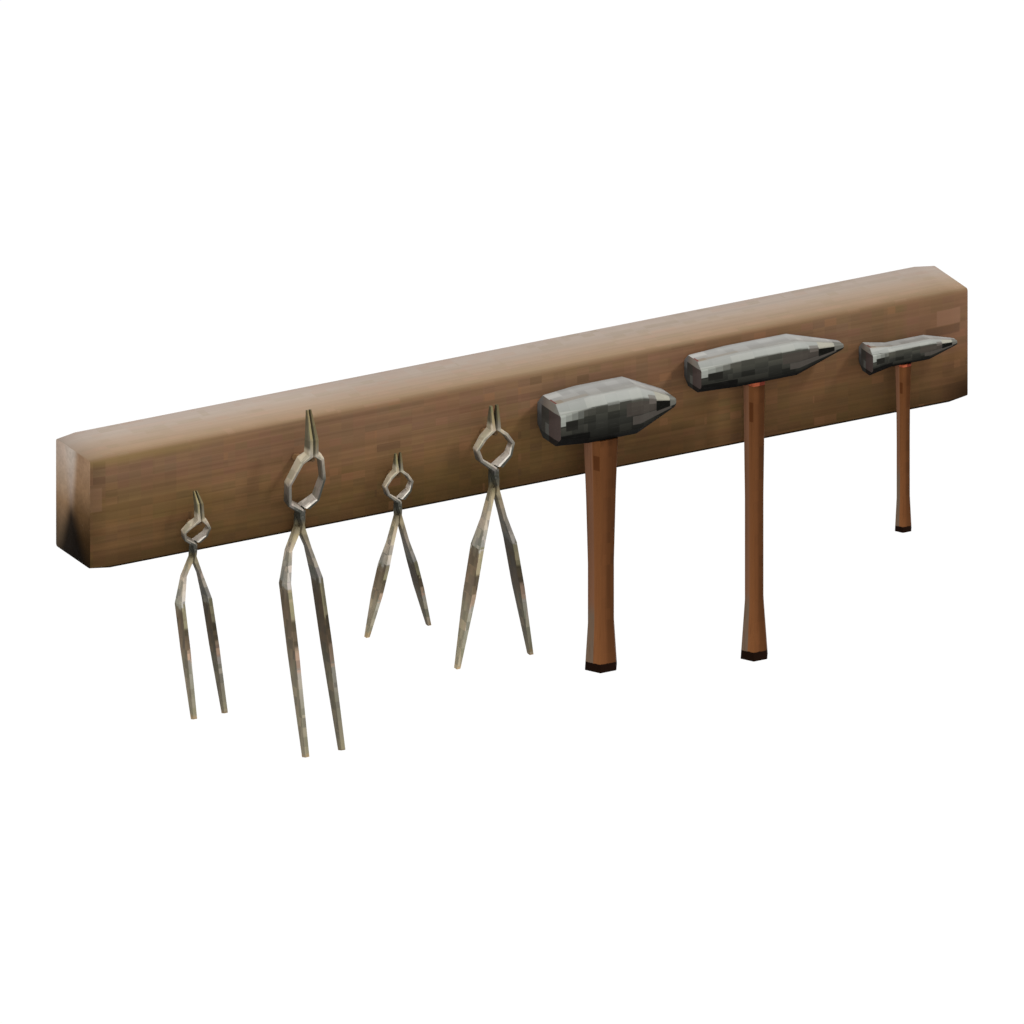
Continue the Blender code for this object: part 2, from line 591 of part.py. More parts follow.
def build_hammer(size, place, beam):
    """Head, handle, the wedge in its tenon, the collar if there is one, and the two pegs under the head."""
    largest_half_depth = max(size.half_depth, size.face_half_depth)
    forward = largest_half_depth + HEAD_BACK_GAP
    tool = joint_empty(size.name, (place, -BEAM_DEPTH - forward, size.height))
    underside = -size.half_height
    eye_top = underside + size.half_height * EYE_DEPTH_SHARE
    tenon = size.top_half_width * TENON_SHARE

    head = loft(size.name + "_head", head_rings(size), PARTS, tool, HEAD_STEEL)
    eye = loft(size.name + "_eye", [handle_section(tenon, underside - size.half_height, FIT),
                                    handle_section(tenon, eye_top, FIT)], CUTTERS, tool)
    cut(head, eye)

    handle = loft(size.name + "_handle", handle_rings(size, underside, eye_top), PARTS, tool, HANDLE_WOOD)
    tenon_top = eye_top - FIT
    wedge_length = WEDGE_LENGTH_SHARE * (tenon_top - underside)
    tenon_half_depth = tenon * FLAT_SHARE
    kerf_rings = wedge_rings(size, tenon_top + FIT, wedge_length + FIT, FIT, 2 * tenon_half_depth)
    kerf = loft(size.name + "_kerf", kerf_rings, CUTTERS, tool)
    cut(handle, kerf)
    loft(size.name + "_wedge", wedge_rings(size, tenon_top, wedge_length, 0.0, tenon_half_depth - FIT),
         PARTS, tool, WEDGE_STEEL)

    if size.collar_height:
        top = underside - FIT
        bottom = top - size.collar_height
        collar = loft(size.name + "_collar",
                      [handle_section(size.top_half_width, height, COLLAR_STAND) for height in (bottom, top)],
                      PARTS, tool, COLLAR_RED)
        hole = loft(size.name + "_collar_hole",
                    [handle_section(size.top_half_width, height, FIT - COLLAR_WALL)
                     for height in (bottom - size.collar_height, top + size.collar_height)], CUTTERS, tool)
        cut(collar, hole)

    radius = size.peg_diameter / 2
    peg_height = size.height + underside - FIT - radius
    spread = size.top_half_width + COLLAR_STAND + HAMMER_PEG_SIDE_GAP + radius
    reach = forward + size.peg_past_middle
    for side, direction in (("left", -1), ("right", 1)):
        drive_peg(beam, f"{size.name}_{side}_peg", place + direction * spread, peg_height, 0.0,
                  [(size.peg_diameter, reach)])


# Assembly

beam_piece = build_beam()
for tongs_size, tool_place in zip(TONGS, TOOL_PLACES):
    build_tongs(tongs_size, tool_place, beam_piece)
for hammer_size, tool_place in zip(HAMMERS, TOOL_PLACES[len(TONGS):]):
    build_hammer(hammer_size, tool_place, beam_piece)
bpy.context.view_layer.update()
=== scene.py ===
# %% [markdown]
# # Forge tool rack
# A heavy timber beam carries four pairs of bow tongs and three cross-peen hammers, each on pegs of its own.
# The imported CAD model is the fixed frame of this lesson: every solid already sits where it belongs, in
# metres. So nothing is fitted by eye here. Each cell dresses one kind of piece, or puts a finer mesh in its
# place.

# %% Load the frame
import math
from collections import namedtuple

import bmesh
import bpy
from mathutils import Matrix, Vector


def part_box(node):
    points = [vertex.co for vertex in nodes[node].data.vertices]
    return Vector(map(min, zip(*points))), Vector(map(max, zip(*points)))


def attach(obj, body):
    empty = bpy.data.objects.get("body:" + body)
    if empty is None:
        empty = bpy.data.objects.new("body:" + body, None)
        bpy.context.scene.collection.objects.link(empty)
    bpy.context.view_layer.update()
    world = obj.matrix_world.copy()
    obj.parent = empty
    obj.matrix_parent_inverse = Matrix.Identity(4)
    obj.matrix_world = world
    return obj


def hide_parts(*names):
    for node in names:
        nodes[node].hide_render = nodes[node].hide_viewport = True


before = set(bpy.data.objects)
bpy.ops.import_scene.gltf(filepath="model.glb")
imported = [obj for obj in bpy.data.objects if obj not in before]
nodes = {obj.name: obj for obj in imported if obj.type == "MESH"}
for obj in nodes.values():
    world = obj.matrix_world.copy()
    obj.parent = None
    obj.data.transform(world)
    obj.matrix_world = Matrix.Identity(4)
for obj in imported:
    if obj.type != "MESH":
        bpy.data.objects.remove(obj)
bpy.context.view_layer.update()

scene = bpy.context.scene

# %% [markdown]
# ## Camera
# The picture shows the rack from the left, a little from above, and its parallel edges stay parallel. That
# is an orthographic view, so the camera gets a width in metres instead of a lens. Its place only sets the
# direction: a point on the beam's front face, and a way back from it.

# %% Camera
AZIMUTH = math.radians(28.18)
ELEVATION = math.radians(21.61)
LOOK_AT = Vector((-0.0226, -0.085, -0.0939))
VIEW_WIDTH = 1.1335
CAMERA_DISTANCE = 3.0

to_camera = Vector((-math.sin(AZIMUTH) * math.cos(ELEVATION), -math.cos(AZIMUTH) * math.cos(ELEVATION),
                    math.sin(ELEVATION)))
camera = bpy.data.objects.new("camera", bpy.data.cameras.new("camera"))
camera.data.type = "ORTHO"
camera.data.ortho_scale = VIEW_WIDTH
camera.location = LOOK_AT + CAMERA_DISTANCE * to_camera
camera.rotation_euler = to_camera.to_track_quat("Z", "Y").to_euler()
scene.collection.objects.link(camera)
scene.camera = camera
scene.view_settings.view_transform = "Standard"
print("camera: orthographic,", VIEW_WIDTH, "m wide")

# %% [markdown]
# ## Studio
# The rack hangs in an even white room with its main light high on the right, which lays soft shadows to the
# left. White walls could be real, brightly lit planes, but then the light on the object would change with
# them. Light Path keeps the two apart: what the camera and the metal see is white, and what lights the
# object is set by itself.

# %% Light that is seen, light that shines
ROOM_LIGHT = 0.88
ROOM_TINT = (1.0, 0.99, 0.97, 1.0)
WHITE = (1.0, 1.0, 1.0, 1.0)


def seen_directly(tree):
    """1 for rays from the camera, a mirror or a clear body, 0 for the rays that light the object."""
    path = tree.nodes.new("ShaderNodeLightPath")
    first = tree.nodes.new("ShaderNodeMath")
    second = tree.nodes.new("ShaderNodeMath")
    first.operation = second.operation = "MAXIMUM"
    tree.links.new(path.outputs["Is Camera Ray"], first.inputs[0])
    tree.links.new(path.outputs["Is Glossy Ray"], first.inputs[1])
    tree.links.new(first.outputs[0], second.inputs[0])
    tree.links.new(path.outputs["Is Transmission Ray"], second.inputs[1])
    return second.outputs[0]


def white_room():
    world = bpy.data.worlds.new("white room")
    world.use_nodes = True
    tree = world.node_tree
    tree.nodes.clear()
    light = tree.nodes.new("ShaderNodeBackground")
    light.inputs["Strength"].default_value = ROOM_LIGHT
    light.inputs["Color"].default_value = ROOM_TINT
    wall = tree.nodes.new("ShaderNodeBackground")
    wall.inputs["Color"].default_value = WHITE
    mix = tree.nodes.new("ShaderNodeMixShader")
    output = tree.nodes.new("ShaderNodeOutputWorld")
    tree.links.new(seen_directly(tree), mix.inputs[0])
    tree.links.new(light.outputs[0], mix.inputs[1])
    tree.links.new(wall.outputs[0], mix.inputs[2])
    tree.links.new(mix.outputs[0], output.inputs["Surface"])
    scene.world = world


white_room()
print("white room: light", ROOM_LIGHT)

# %% [markdown]
# The floor lies well below the tools and still takes their shadow. A white floor would throw light up at the
# tools, so it is grey for the light in the room and near white for the camera.

# %% Floor
FLOOR_HEIGHT = -0.95
FLOOR_REACH = 6.0
FLOOR_PAINT = (0.5, 0.5, 0.5, 1.0)
FLOOR_AS_SEEN = (0.95, 0.95, 0.95, 1.0)
FLOOR_GLOW = 0.86


def floor_finish():
    """Grey for the light in the room, near white for the camera, and shadows show on it."""
    material = bpy.data.materials.new("pale floor")
    material.use_nodes = True
    tree = material.node_tree
    tree.nodes.clear()
    seen = seen_directly(tree)
    shade = tree.nodes.new("ShaderNodeMix")
    shade.data_type = "RGBA"
    shade.inputs[6].default_value = FLOOR_PAINT
    shade.inputs[7].default_value = FLOOR_AS_SEEN
    paint = tree.nodes.new("ShaderNodeBsdfDiffuse")
    glow = tree.nodes.new("ShaderNodeEmission")
    glow.inputs["Strength"].default_value = 1.0
    share = tree.nodes.new("ShaderNodeMath")
    share.operation = "MULTIPLY"
    share.inputs[1].default_value = FLOOR_GLOW
    mix = tree.nodes.new("ShaderNodeMixShader")
    output = tree.nodes.new("ShaderNodeOutputMaterial")
    tree.links.new(seen, shade.inputs["Factor"])
    tree.links.new(shade.outputs[2], paint.inputs["Color"])
    tree.links.new(seen, share.inputs[0])
    tree.links.new(share.outputs[0], mix.inputs[0])
    tree.links.new(paint.outputs[0], mix.inputs[1])
    tree.links.new(glow.outputs[0], mix.inputs[2])
    tree.links.new(mix.outputs[0], output.inputs["Surface"])
    return material


def pale_floor():
    shape = bmesh.new()
    bmesh.ops.create_grid(shape, x_segments=8, y_segments=8, size=FLOOR_REACH)
    bmesh.ops.translate(shape, verts=shape.verts, vec=(0.0, 0.0, FLOOR_HEIGHT))
    mesh = bpy.data.meshes.new("floor")
    shape.to_mesh(mesh)
    shape.free()
    mesh.materials.append(floor_finish())
    floor = bpy.data.objects.new("floor", mesh)
    scene.collection.objects.link(floor)


pale_floor()
print("floor at", FLOOR_HEIGHT, "m")

# %% [markdown]
# One lamp makes the soft shadows. An area lamp would light the near end of a long beam more than the far end.
# A sun is so far away that only its direction counts, and its width, an angle, softens the shadows.

# %% Main lamp
LAMP_COMES_FROM = (0.555, -0.365, 0.747)
LAMP_STRENGTH = 1.58
LAMP_WIDTH = math.radians(8)

lamp = bpy.data.objects.new("main lamp", bpy.data.lights.new("main lamp", "SUN"))
lamp.data.energy = LAMP_STRENGTH
lamp.data.angle = LAMP_WIDTH
lamp.rotation_euler = Vector(LAMP_COMES_FROM).to_track_quat("Z", "Y").to_euler()
scene.collection.objects.link(lamp)
print("main lamp: strength", LAMP_STRENGTH)

# %% [markdown]
# ## A kit for finishes
# Each finish is a small web of shader nodes on the piece's own coordinates, so it stays put when the tool
# is lifted. The same few moves come back all the time: stretched noise for grain, a grid of random cells
# for worn patches, a soft step for a band or a stain, and a measure of which way the surface faces. A short
# class keeps them readable.

# %% The finish kit
UP = (0.0, 0.0, 1.0)
LEFT = (-1.0, 0.0, 0.0)
RIGHT = (1.0, 0.0, 0.0)


def colour(red, green, blue):
    """A colour as a paint chart gives it, 0 to 255, turned into the linear values that shaders use."""
    linear = []
    for part in (red, green, blue):
        share = part / 255.0
        linear.append(share / 12.92 if share <= 0.04045 else ((share + 0.055) / 1.055) ** 2.4)
    return (*linear, 1.0)


class Finish:
    """One procedural material, built up move by move."""

    def __init__(self, name, roughness=0.6, metallic=0.0, gloss=0.5):
        self.material = bpy.data.materials.new(name)
        self.material.use_nodes = True
        self.tree = self.material.node_tree
        self.tree.nodes.clear()
        self.shader = self.tree.nodes.new("ShaderNodeBsdfPrincipled")
        output = self.tree.nodes.new("ShaderNodeOutputMaterial")
        self.tree.links.new(self.shader.outputs[0], output.inputs["Surface"])
        self.shader.inputs["Roughness"].default_value = roughness
        self.shader.inputs["Metallic"].default_value = metallic
        self.shader.inputs["Specular IOR Level"].default_value = gloss
        self.place = self.tree.nodes.new("ShaderNodeTexCoord").outputs["Object"]
        self.normal = self.tree.nodes.new("ShaderNodeNewGeometry").outputs["Normal"]
        self.x, self.y, self.z = self.parts(self.place)

    def put(self, socket, value):
        """Sets a socket to a value, or links it to another socket."""
        if isinstance(value, bpy.types.NodeSocket):
            self.tree.links.new(value, socket)
        else:
            socket.default_value = value

    def maths(self, operation, first, second=0.0):
        node = self.tree.nodes.new("ShaderNodeMath")
        node.operation = operation
        self.put(node.inputs[0], first)
        self.put(node.inputs[1], second)
        return node.outputs[0]

    def total(self, first, *others):
        """All values added up."""
        for other in others:
            first = self.maths("ADD", first, other)
        return first

    def product(self, first, *others):
        """All values multiplied, so that masks hold only where every one of them does."""
        for other in others:
            first = self.maths("MULTIPLY", first, other)
        return first

    def vector(self, operation, first, second):
        node = self.tree.nodes.new("ShaderNodeVectorMath")
        node.operation = operation
        self.put(node.inputs[0], first)
        self.put(node.inputs[1], second)
        return node.outputs["Value" if operation == "DOT_PRODUCT" else "Vector"]

    def moved(self, shift):
        """The piece's coordinates with their zero moved, so that a pattern can be centred on it."""
        node = self.tree.nodes.new("ShaderNodeMapping")
        node.inputs["Location"].default_value = shift
        self.put(node.inputs["Vector"], self.place)
        return node.outputs[0]

    def parts(self, vector):
        node = self.tree.nodes.new("ShaderNodeSeparateXYZ")
        self.put(node.inputs[0], vector)
        return node.outputs

    def turn(self, across, deep):
        """The way round an upright piece: 0 is right, a quarter back, a half left, three quarters front."""
        return self.maths("FRACT", self.maths("DIVIDE", self.maths("ARCTAN2", deep, across), 2 * math.pi))

    def noise(self, scale, detail=3.0, shift=(0.0, 0.0, 0.0)):
        """Cloudy noise; scale counts its waves in a metre along X, Y and Z."""
        node = self.tree.nodes.new("ShaderNodeTexNoise")
        node.inputs["Scale"].default_value = 1.0
        node.inputs["Detail"].default_value = detail
        moved = self.vector("ADD", self.place, shift)
        self.put(node.inputs["Vector"], self.vector("MULTIPLY", moved, scale))
        return node.outputs["Fac"]

    def cells(self, size, shift=(0.0, 0.0, 0.0), place=None):
        """A random value and a random colour for each block of the given size, in metres."""
        moved = self.vector("ADD", place or self.place, shift)
        counted = self.vector("MULTIPLY", moved, tuple(1.0 / side for side in size))
        node = self.tree.nodes.new("ShaderNodeTexWhiteNoise")
        self.put(node.inputs["Vector"], self.vector("FLOOR", counted, (0.0, 0.0, 0.0)))
        return node.outputs["Value"], node.outputs["Color"]

    def step(self, value, low, high, kind="SMOOTHSTEP", start=0.0, end=1.0):
        """Goes from start to end as value goes from low to high, and stays there."""
        node = self.tree.nodes.new("ShaderNodeMapRange")
        node.interpolation_type = kind
        for socket, number in zip(node.inputs, (value, low, high, start, end)):
            self.put(socket, number)
        return node.outputs[0]

    def band(self, value, low, high, border, strength=1.0, kind="LINEAR"):
        """As strong as given between low and high, nought outside, with borders of a given width."""
        return self.product(self.step(value, low, low + border, kind),
                            self.step(value, high, high - border, kind, end=strength))

    def facing(self, direction):
        """1 where the surface looks that way, 0 across it, -1 where it looks away."""
        return self.vector("DOT_PRODUCT", self.normal, Vector(direction).normalized())

    def blend(self, share, first, second, way="MIX"):
        node = self.tree.nodes.new("ShaderNodeMix")
        node.data_type = "RGBA"
        node.blend_type = way
        sockets = (node.inputs["Factor"], node.inputs[6], node.inputs[7])
        for socket, value in zip(sockets, (share, first, second)):
            self.put(socket, value)
        return node.outputs[2]

    def chart(self, value, stops):
        """A colour for a value, read from a chart of (place, colour) stops."""
        node = self.tree.nodes.new("ShaderNodeValToRGB")
        points = node.color_ramp.elements
        while len(points) < len(stops):
            points.new(0.5)
        for point, (place, shade) in zip(points, sorted(stops)):
            point.position = place
            point.color = shade
        self.put(node.inputs[0], value)
        return node.outputs[0]

    def toned(self, base, factor):
        """The same colour, brighter or darker by a factor."""
        grey = self.tree.nodes.new("ShaderNodeCombineColor")
        for socket in grey.inputs:
            self.put(socket, factor)
        return self.blend(1.0, base, grey.outputs[0], "MULTIPLY")

    def done(self, base, rough, height, depth):
        """Joins the colour, the roughness and the relief (depth in metres) to the shader."""
        bump = self.tree.nodes.new("ShaderNodeBump")
        bump.inputs["Distance"].default_value = depth
        self.put(bump.inputs["Height"], height)
        self.put(self.shader.inputs["Base Color"], base)
        self.put(self.shader.inputs["Roughness"], rough)
        self.tree.links.new(bump.outputs[0], self.shader.inputs["Normal"])
        return self.material


print("finish kit ready")

# %% [markdown]
# ## Helpers for the frame's solids
# A solid that only needs a finish keeps its mesh and gets a new material. A solid that needs finer edges is
# copied first. Its loose triangles are joined up into whole faces, because a bevel only works on joined
# faces.

# %% Helpers for the frame's solids
SAME_POINT = 1e-6
SAME_FACE_ANGLE = math.radians(0.5)


def corners(node_name):
    """A solid's lowest and highest corner at rest."""
    return [Vector(corner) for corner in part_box(node_name)]


def dress(node_name, material):
    """Gives a solid of the frame its finish."""
    for slot in nodes[node_name].material_slots:
        slot.material = material


def merged_copy(node_name, piece_name):
    """A copy of a solid with its loose triangles joined up again into whole faces."""
    shape = bmesh.new()
    shape.from_mesh(nodes[node_name].data)
    bmesh.ops.remove_doubles(shape, verts=shape.verts, dist=SAME_POINT)
    bmesh.ops.dissolve_limit(shape, angle_limit=SAME_FACE_ANGLE, verts=shape.verts, edges=shape.edges)
    mesh = bpy.data.meshes.new(piece_name)
    shape.to_mesh(mesh)
    shape.free()
    if "custom_normal" in mesh.attributes:
        mesh.attributes.remove(mesh.attributes["custom_normal"])
    piece = bpy.data.objects.new(piece_name, mesh)
    scene.collection.objects.link(piece)
    return piece


def finish_piece(piece, material):
    """Makes a material the only one on a new piece."""
    piece.data.materials.clear()
    piece.data.materials.append(material)
    print("finish on", piece.name)


print("helpers ready")

# %% [markdown]
# ## Timber beam
# The beam is an old squared timber whose corners were worn soft, so light rolls over every edge of it. Real
# wear like that could be sculpted, but it would move the outline. Here the faces stay flat and only the
# normals lean a little towards the edges: the light then rolls over the corner as it does on worn wood. The
# shape is the frame's own solid, bored for the pegs, with its triangles joined up.

# %% Worn timber mesh
BEAM_LEAN = 0.55
END_LEAN = 0.75
DRAWN_IN = 0.024
SKIN_DEPTH = 0.004
FACES_AN_END = 0.9


def leaned_normals(mesh, low, high):
    """Normals for every face corner: on the skin they lean outwards, in the peg holes they stay."""
    middle = (low + high) / 2
    half = (high - low) / 2
    result = []
    for face in mesh.polygons:
        flat = face.normal.copy()
        centre = face.center - middle
        depth = min(half[axis] - abs(centre[axis]) for axis in range(3))
        for corner in face.loop_indices:
            if depth > SKIN_DEPTH:
                result.append(flat)
                continue
            point = mesh.vertices[mesh.loops[corner].vertex_index].co - middle
            share = Vector(point[axis] / half[axis] for axis in range(3))
            if abs(flat.x) > FACES_AN_END:
                lean = END_LEAN * share
            else:
                lean = BEAM_LEAN * share
                run_out = max(0.0, (abs(point.x) - half.x + DRAWN_IN) / DRAWN_IN)
                lean.x = math.copysign(BEAM_LEAN * run_out, point.x)
            lean = lean - flat * lean.dot(flat)
            result.append((flat + lean).normalized())
    return result


beam_low, beam_high = corners("beam")
timber = merged_copy("beam", "timber_beam")
for face in timber.data.polygons:
    face.use_smooth = True
timber.data.normals_split_custom_set(leaned_normals(timber.data, beam_low, beam_high))
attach(timber, "rack")
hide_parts("beam")
print("timber beam:", len(timber.data.polygons), "faces")

# %% [markdown]
# The wood has fine streaks along the grain, and years by the fire have left it patchy in small blocks.
# Noise that is stretched along the beam gives the streaks, a grid of random values gives the blocks. These
# few patterns are made once, and the front, the top and the left end all draw on them.

# %% Timber grain and blocks
wood = Finish("old timber", roughness=0.7, gloss=0.01)
fine = wood.noise((2.6, 260.0, 260.0), detail=4.0)
broad = wood.noise((1.8, 60.0, 60.0), shift=(0.4, 0.1, 0.0))
cloud = wood.noise((3.5, 9.0, 12.0), detail=2.0, shift=(1.3, 0.0, 0.7))
cell, tint = wood.cells((0.0148, 0.0090, 0.0088))
wide_cell, _ = wood.cells((0.046, 0.0090, 0.0088), shift=(0.011, 0.0, 0.0))
mood = wood.total(cell, wide_cell)
grain = wood.total(wood.step(fine, 0.36, 0.64, "LINEAR", -0.09, 0.09),
                   wood.step(broad, 0.35, 0.65, "LINEAR", -0.08, 0.08))
fleck = wood.step(mood, 0.4, 1.6, "LINEAR", -0.05, 0.05)
rising = wood.step(wood.z, beam_low.z, beam_high.z, "LINEAR")
print("timber patterns:", len(wood.tree.nodes), "nodes")

# %% [markdown]
# The front is brown heartwood, darker towards the bottom as painted shade, with reddish and olive clouds.
# Each stain, worn place and patch of painted light or shade is one mask, laid over the last, as a painter
# would lay glazes. Soft steps along X and Z place the masks.

# %% Timber front
# The chart darkens the front towards the bottom: painted shade.
front = wood.chart(rising, [
    (0.0, colour(88, 65, 40)), (0.25, colour(104, 78, 51)), (0.45, colour(117, 88, 59)),
    (0.8, colour(113, 86, 65)), (1.0, colour(116, 90, 68))])
front = wood.blend(wood.step(cloud, 0.48, 0.66, end=0.35), front, colour(112, 78, 56))
front = wood.blend(wood.step(cloud, 0.48, 0.34, end=0.35), front, colour(96, 78, 42))
front = wood.toned(front, wood.total(grain, fleck, 1.0))
front = wood.blend(0.035, front, tint, "OVERLAY")
front = wood.blend(wood.step(mood, 1.80, 1.82, "LINEAR", end=0.35), front, colour(132, 94, 66))
front = wood.blend(wood.step(mood, 0.18, 0.16, "LINEAR", end=0.35), front, colour(86, 62, 47))

# Painted light: paler low on the left, round the big hammer and along the long handle
painted_light_low_left = wood.product(wood.step(wood.x, -0.14, -0.24), wood.step(wood.z, -0.02, -0.045, end=0.18))
painted_light_round_hammer = wood.product(wood.step(wood.x, -0.05, 0.0), wood.step(wood.x, 0.24, 0.19, end=0.12),
                            wood.step(wood.z, 0.05, 0.03))
painted_light_along_handle = wood.product(wood.step(wood.x, 0.222, 0.242), wood.step(wood.x, 0.272, 0.264, end=0.45),
                            wood.step(wood.z, 0.01, -0.01))
# Painted shade: darker to the right of the big hammer and next to both ends
painted_shade_beside_hammer = wood.product(wood.step(wood.x, 0.10, 0.14), wood.step(wood.x, 0.215, 0.19),
                             wood.step(wood.z, -0.018, -0.034, end=-0.24))
painted_shade_right_end = wood.product(wood.step(wood.x, 0.515, 0.535), wood.step(wood.z, 0.035, 0.0, end=-0.2),
                         wood.step(wood.z, -0.03, -0.012))
painted_shade_left_end = wood.product(wood.step(wood.x, -0.527, beam_low.x, end=-0.16),
                        wood.step(wood.z, 0.0, -0.03, start=0.35))
front = wood.toned(front, wood.total(painted_light_low_left, painted_light_round_hammer, painted_light_along_handle, painted_shade_beside_hammer, painted_shade_right_end, painted_shade_left_end,
                                     1.0))
print("timber front:", len(wood.tree.nodes), "nodes")

# %% [markdown]
# Some marks have a place of their own: rubbed blocks next to the ends, painted shade in a corner, dust along
# an edge.
# Random patterns can't put them there, so each is a band along X and Z with a paint of its own.

# %% Timber front, stains and single blocks
WORN_BLOCKS = [  # left, right, bottom, top, strength and paint: two rubbed pinkish, one dark
    (-0.560, -0.536, 0.002, 0.032, 0.5, (128, 98, 76)),
    (0.510, 0.542, 0.026, 0.046, 0.55, (132, 99, 79)),
    (0.496, 0.541, 0.0145, 0.027, 0.55, (90, 66, 52)),
]
BLOCK_BORDER = 0.002

pink = wood.product(wood.step(wood.x, 0.465, 0.475, "LINEAR"), wood.step(wood.z, -0.012, 0.0, end=0.3),
                    wood.step(wide_cell, 0.1, 0.6, "LINEAR", 0.5, 1.0))
front = wood.blend(pink, front, colour(126, 88, 74))
for first, last, lower, upper, strength, paint in WORN_BLOCKS:
    block = wood.product(wood.band(wood.x, first, last, BLOCK_BORDER, kind="SMOOTHSTEP"),
                         wood.band(wood.z, lower, upper, BLOCK_BORDER, strength, "SMOOTHSTEP"))
    front = wood.blend(block, front, colour(*paint))

# Painted shade in the lower right corner, and olive dust on the left of the upper edge
painted_corner_shade = wood.product(wood.step(wood.x, 0.505, beam_high.x), wood.step(wood.z, -0.015, -0.06, end=0.85))
front = wood.blend(painted_corner_shade, front, colour(38, 26, 16))
olive = wood.product(wood.step(wood.z, 0.05, 0.064), wood.step(wood.x, -0.33, -0.5, end=0.6))
front = wood.blend(olive, front, colour(126, 106, 64))
# A dark line of painted shade along the lower edge, and a paler one of painted light along the upper edge
front = wood.blend(wood.step(wood.z, -0.0630, -0.0641, end=0.9), front, colour(26, 18, 11))
front = wood.blend(wood.step(wood.z, 0.057, beam_high.z, end=0.35), front, colour(140, 114, 86))
print("timber front with stains:", len(wood.tree.nodes), "nodes")

# %% [markdown]
# The top is bleached and dusty, and paler towards the wall as painted light and sheen. The same blocks and
# streaks show there, but the dust mutes them.

# %% Timber top
dust_and_painted_light = wood.chart(wood.step(wood.y, beam_low.y, 0.0, "LINEAR"), [
    (0.0, colour(130, 106, 82)), (0.1, colour(146, 123, 99)), (0.5, colour(158, 140, 124)),
    (0.7, colour(164, 150, 138)), (0.9, colour(171, 157, 147))])
dust_and_painted_light = wood.blend(wood.step(mood, 1.2, 1.8, "LINEAR", end=0.22), dust_and_painted_light, colour(166, 134, 115))
dust_and_painted_light = wood.blend(wood.step(mood, 0.8, 0.2, "LINEAR", end=0.22), dust_and_painted_light, colour(138, 124, 98))
# Painted light: paler on the left of the top
top_painted_light_left = wood.product(wood.step(wood.x, -0.53, -0.49), wood.step(wood.x, -0.15, -0.3, end=0.09))
dust_and_painted_light = wood.toned(dust_and_painted_light, wood.total(wood.product(grain, 0.35), top_painted_light_left, 1.0))
print("timber top:", len(wood.tree.nodes), "nodes")

# %% [markdown]
# The left end is brown wood, darker low down and paler high up as painted shade and light, with a wedge of
# painted highlight from above and a wedge of painted shade from below. They meet halfway. A wedge is a mask
# whose width grows with the height: the distance from its middle line, less that width.

# %% Timber left end
END_RIDGE = -0.0374   # where the wedges' middle line lies between the front and the wall

# Both charts are darker low down and paler high up: painted shade and light.
near_front = wood.chart(rising, [
    (0.0, colour(40, 29, 16)), (0.24, colour(64, 46, 27)), (0.46, colour(101, 76, 51)),
    (0.69, colour(144, 114, 86)), (0.9, colour(160, 130, 104))])
near_wall = wood.chart(rising, [
    (0.0, colour(82, 70, 56)), (0.25, colour(110, 89, 68)), (0.46, colour(152, 122, 93)),
    (0.69, colour(176, 153, 132)), (0.9, colour(190, 170, 155))])
end_grain = wood.blend(wood.step(wood.y, END_RIDGE - 0.016, END_RIDGE + 0.012), near_front, near_wall)

off_ridge = wood.maths("SUBTRACT", wood.y, END_RIDGE)
# Painted highlight: a pale wedge from above
painted_highlight_width = wood.product(wood.total(wood.z, 0.012), 0.13)
painted_highlight_wedge = wood.step(wood.maths("SUBTRACT", wood.maths("ABSOLUTE", off_ridge), painted_highlight_width), 0.010, -0.006)
end_grain = wood.blend(painted_highlight_wedge, end_grain, wood.chart(rising, [
    (0.40, colour(126, 102, 82)), (0.69, colour(178, 159, 145)), (0.95, colour(196, 182, 170))]))

# The painted shade spreads further and softer to the front than to the wall
below = wood.maths("SUBTRACT", 0.002, wood.z)
to_wall = wood.maths("SUBTRACT", off_ridge, wood.product(below, 0.36))
to_front = wood.maths("SUBTRACT", wood.product(off_ridge, -1.0), wood.product(below, 0.5))
painted_shade_wedge = wood.total(
    wood.product(wood.step(off_ridge, 0.0, 0.001, "LINEAR"), wood.step(to_wall, 0.013, -0.010)),
    wood.product(wood.step(off_ridge, 0.001, 0.0, "LINEAR"), wood.step(to_front, 0.018, -0.012)))
painted_shade_wedge = wood.product(painted_shade_wedge, wood.step(wood.z, 0.014, -0.020, end=0.95))
end_grain = wood.blend(painted_shade_wedge, end_grain, colour(21, 16, 12))
end_grain = wood.toned(end_grain, wood.total(wood.product(grain, 0.8), 1.0))
print("timber left end:", len(wood.tree.nodes), "nodes")

# %% [markdown]
# The front, the top and the left end now become one finish. Three materials could do that, but they would
# meet in a hard line. Here the normal blends them, so the change is as soft as the worn corners.

# %% Timber finish
timber_colour = wood.blend(wood.step(wood.facing(UP), 0.46, 0.88), front, dust_and_painted_light)
timber_colour = wood.blend(wood.step(wood.facing(LEFT), 0.5, 0.72), timber_colour, end_grain)
timber_rough = wood.step(fine, 0.3, 0.7, "LINEAR", 0.62, 0.8)
timber_relief = wood.total(fine, wood.product(broad, 0.6))
finish_piece(timber, wood.done(timber_colour, timber_rough, timber_relief, 0.0003))

# %% [markdown]
# ## Hammer heads
# The heads are forged octagons, ground flat on the faces. No such block leaves the forge with knife edges,
# so a bevel takes about half a millimetre off each. It is applied to a joined-up copy of the solid, because
# the solid itself is never changed.

# %% Hammer head meshes
HEAD_BEVEL = {1: 0.0006, 2: 0.0005, 3: 0.0004}
HEAD_EDGE_ANGLE = math.radians(12)
BEVEL_SEGMENTS = 2


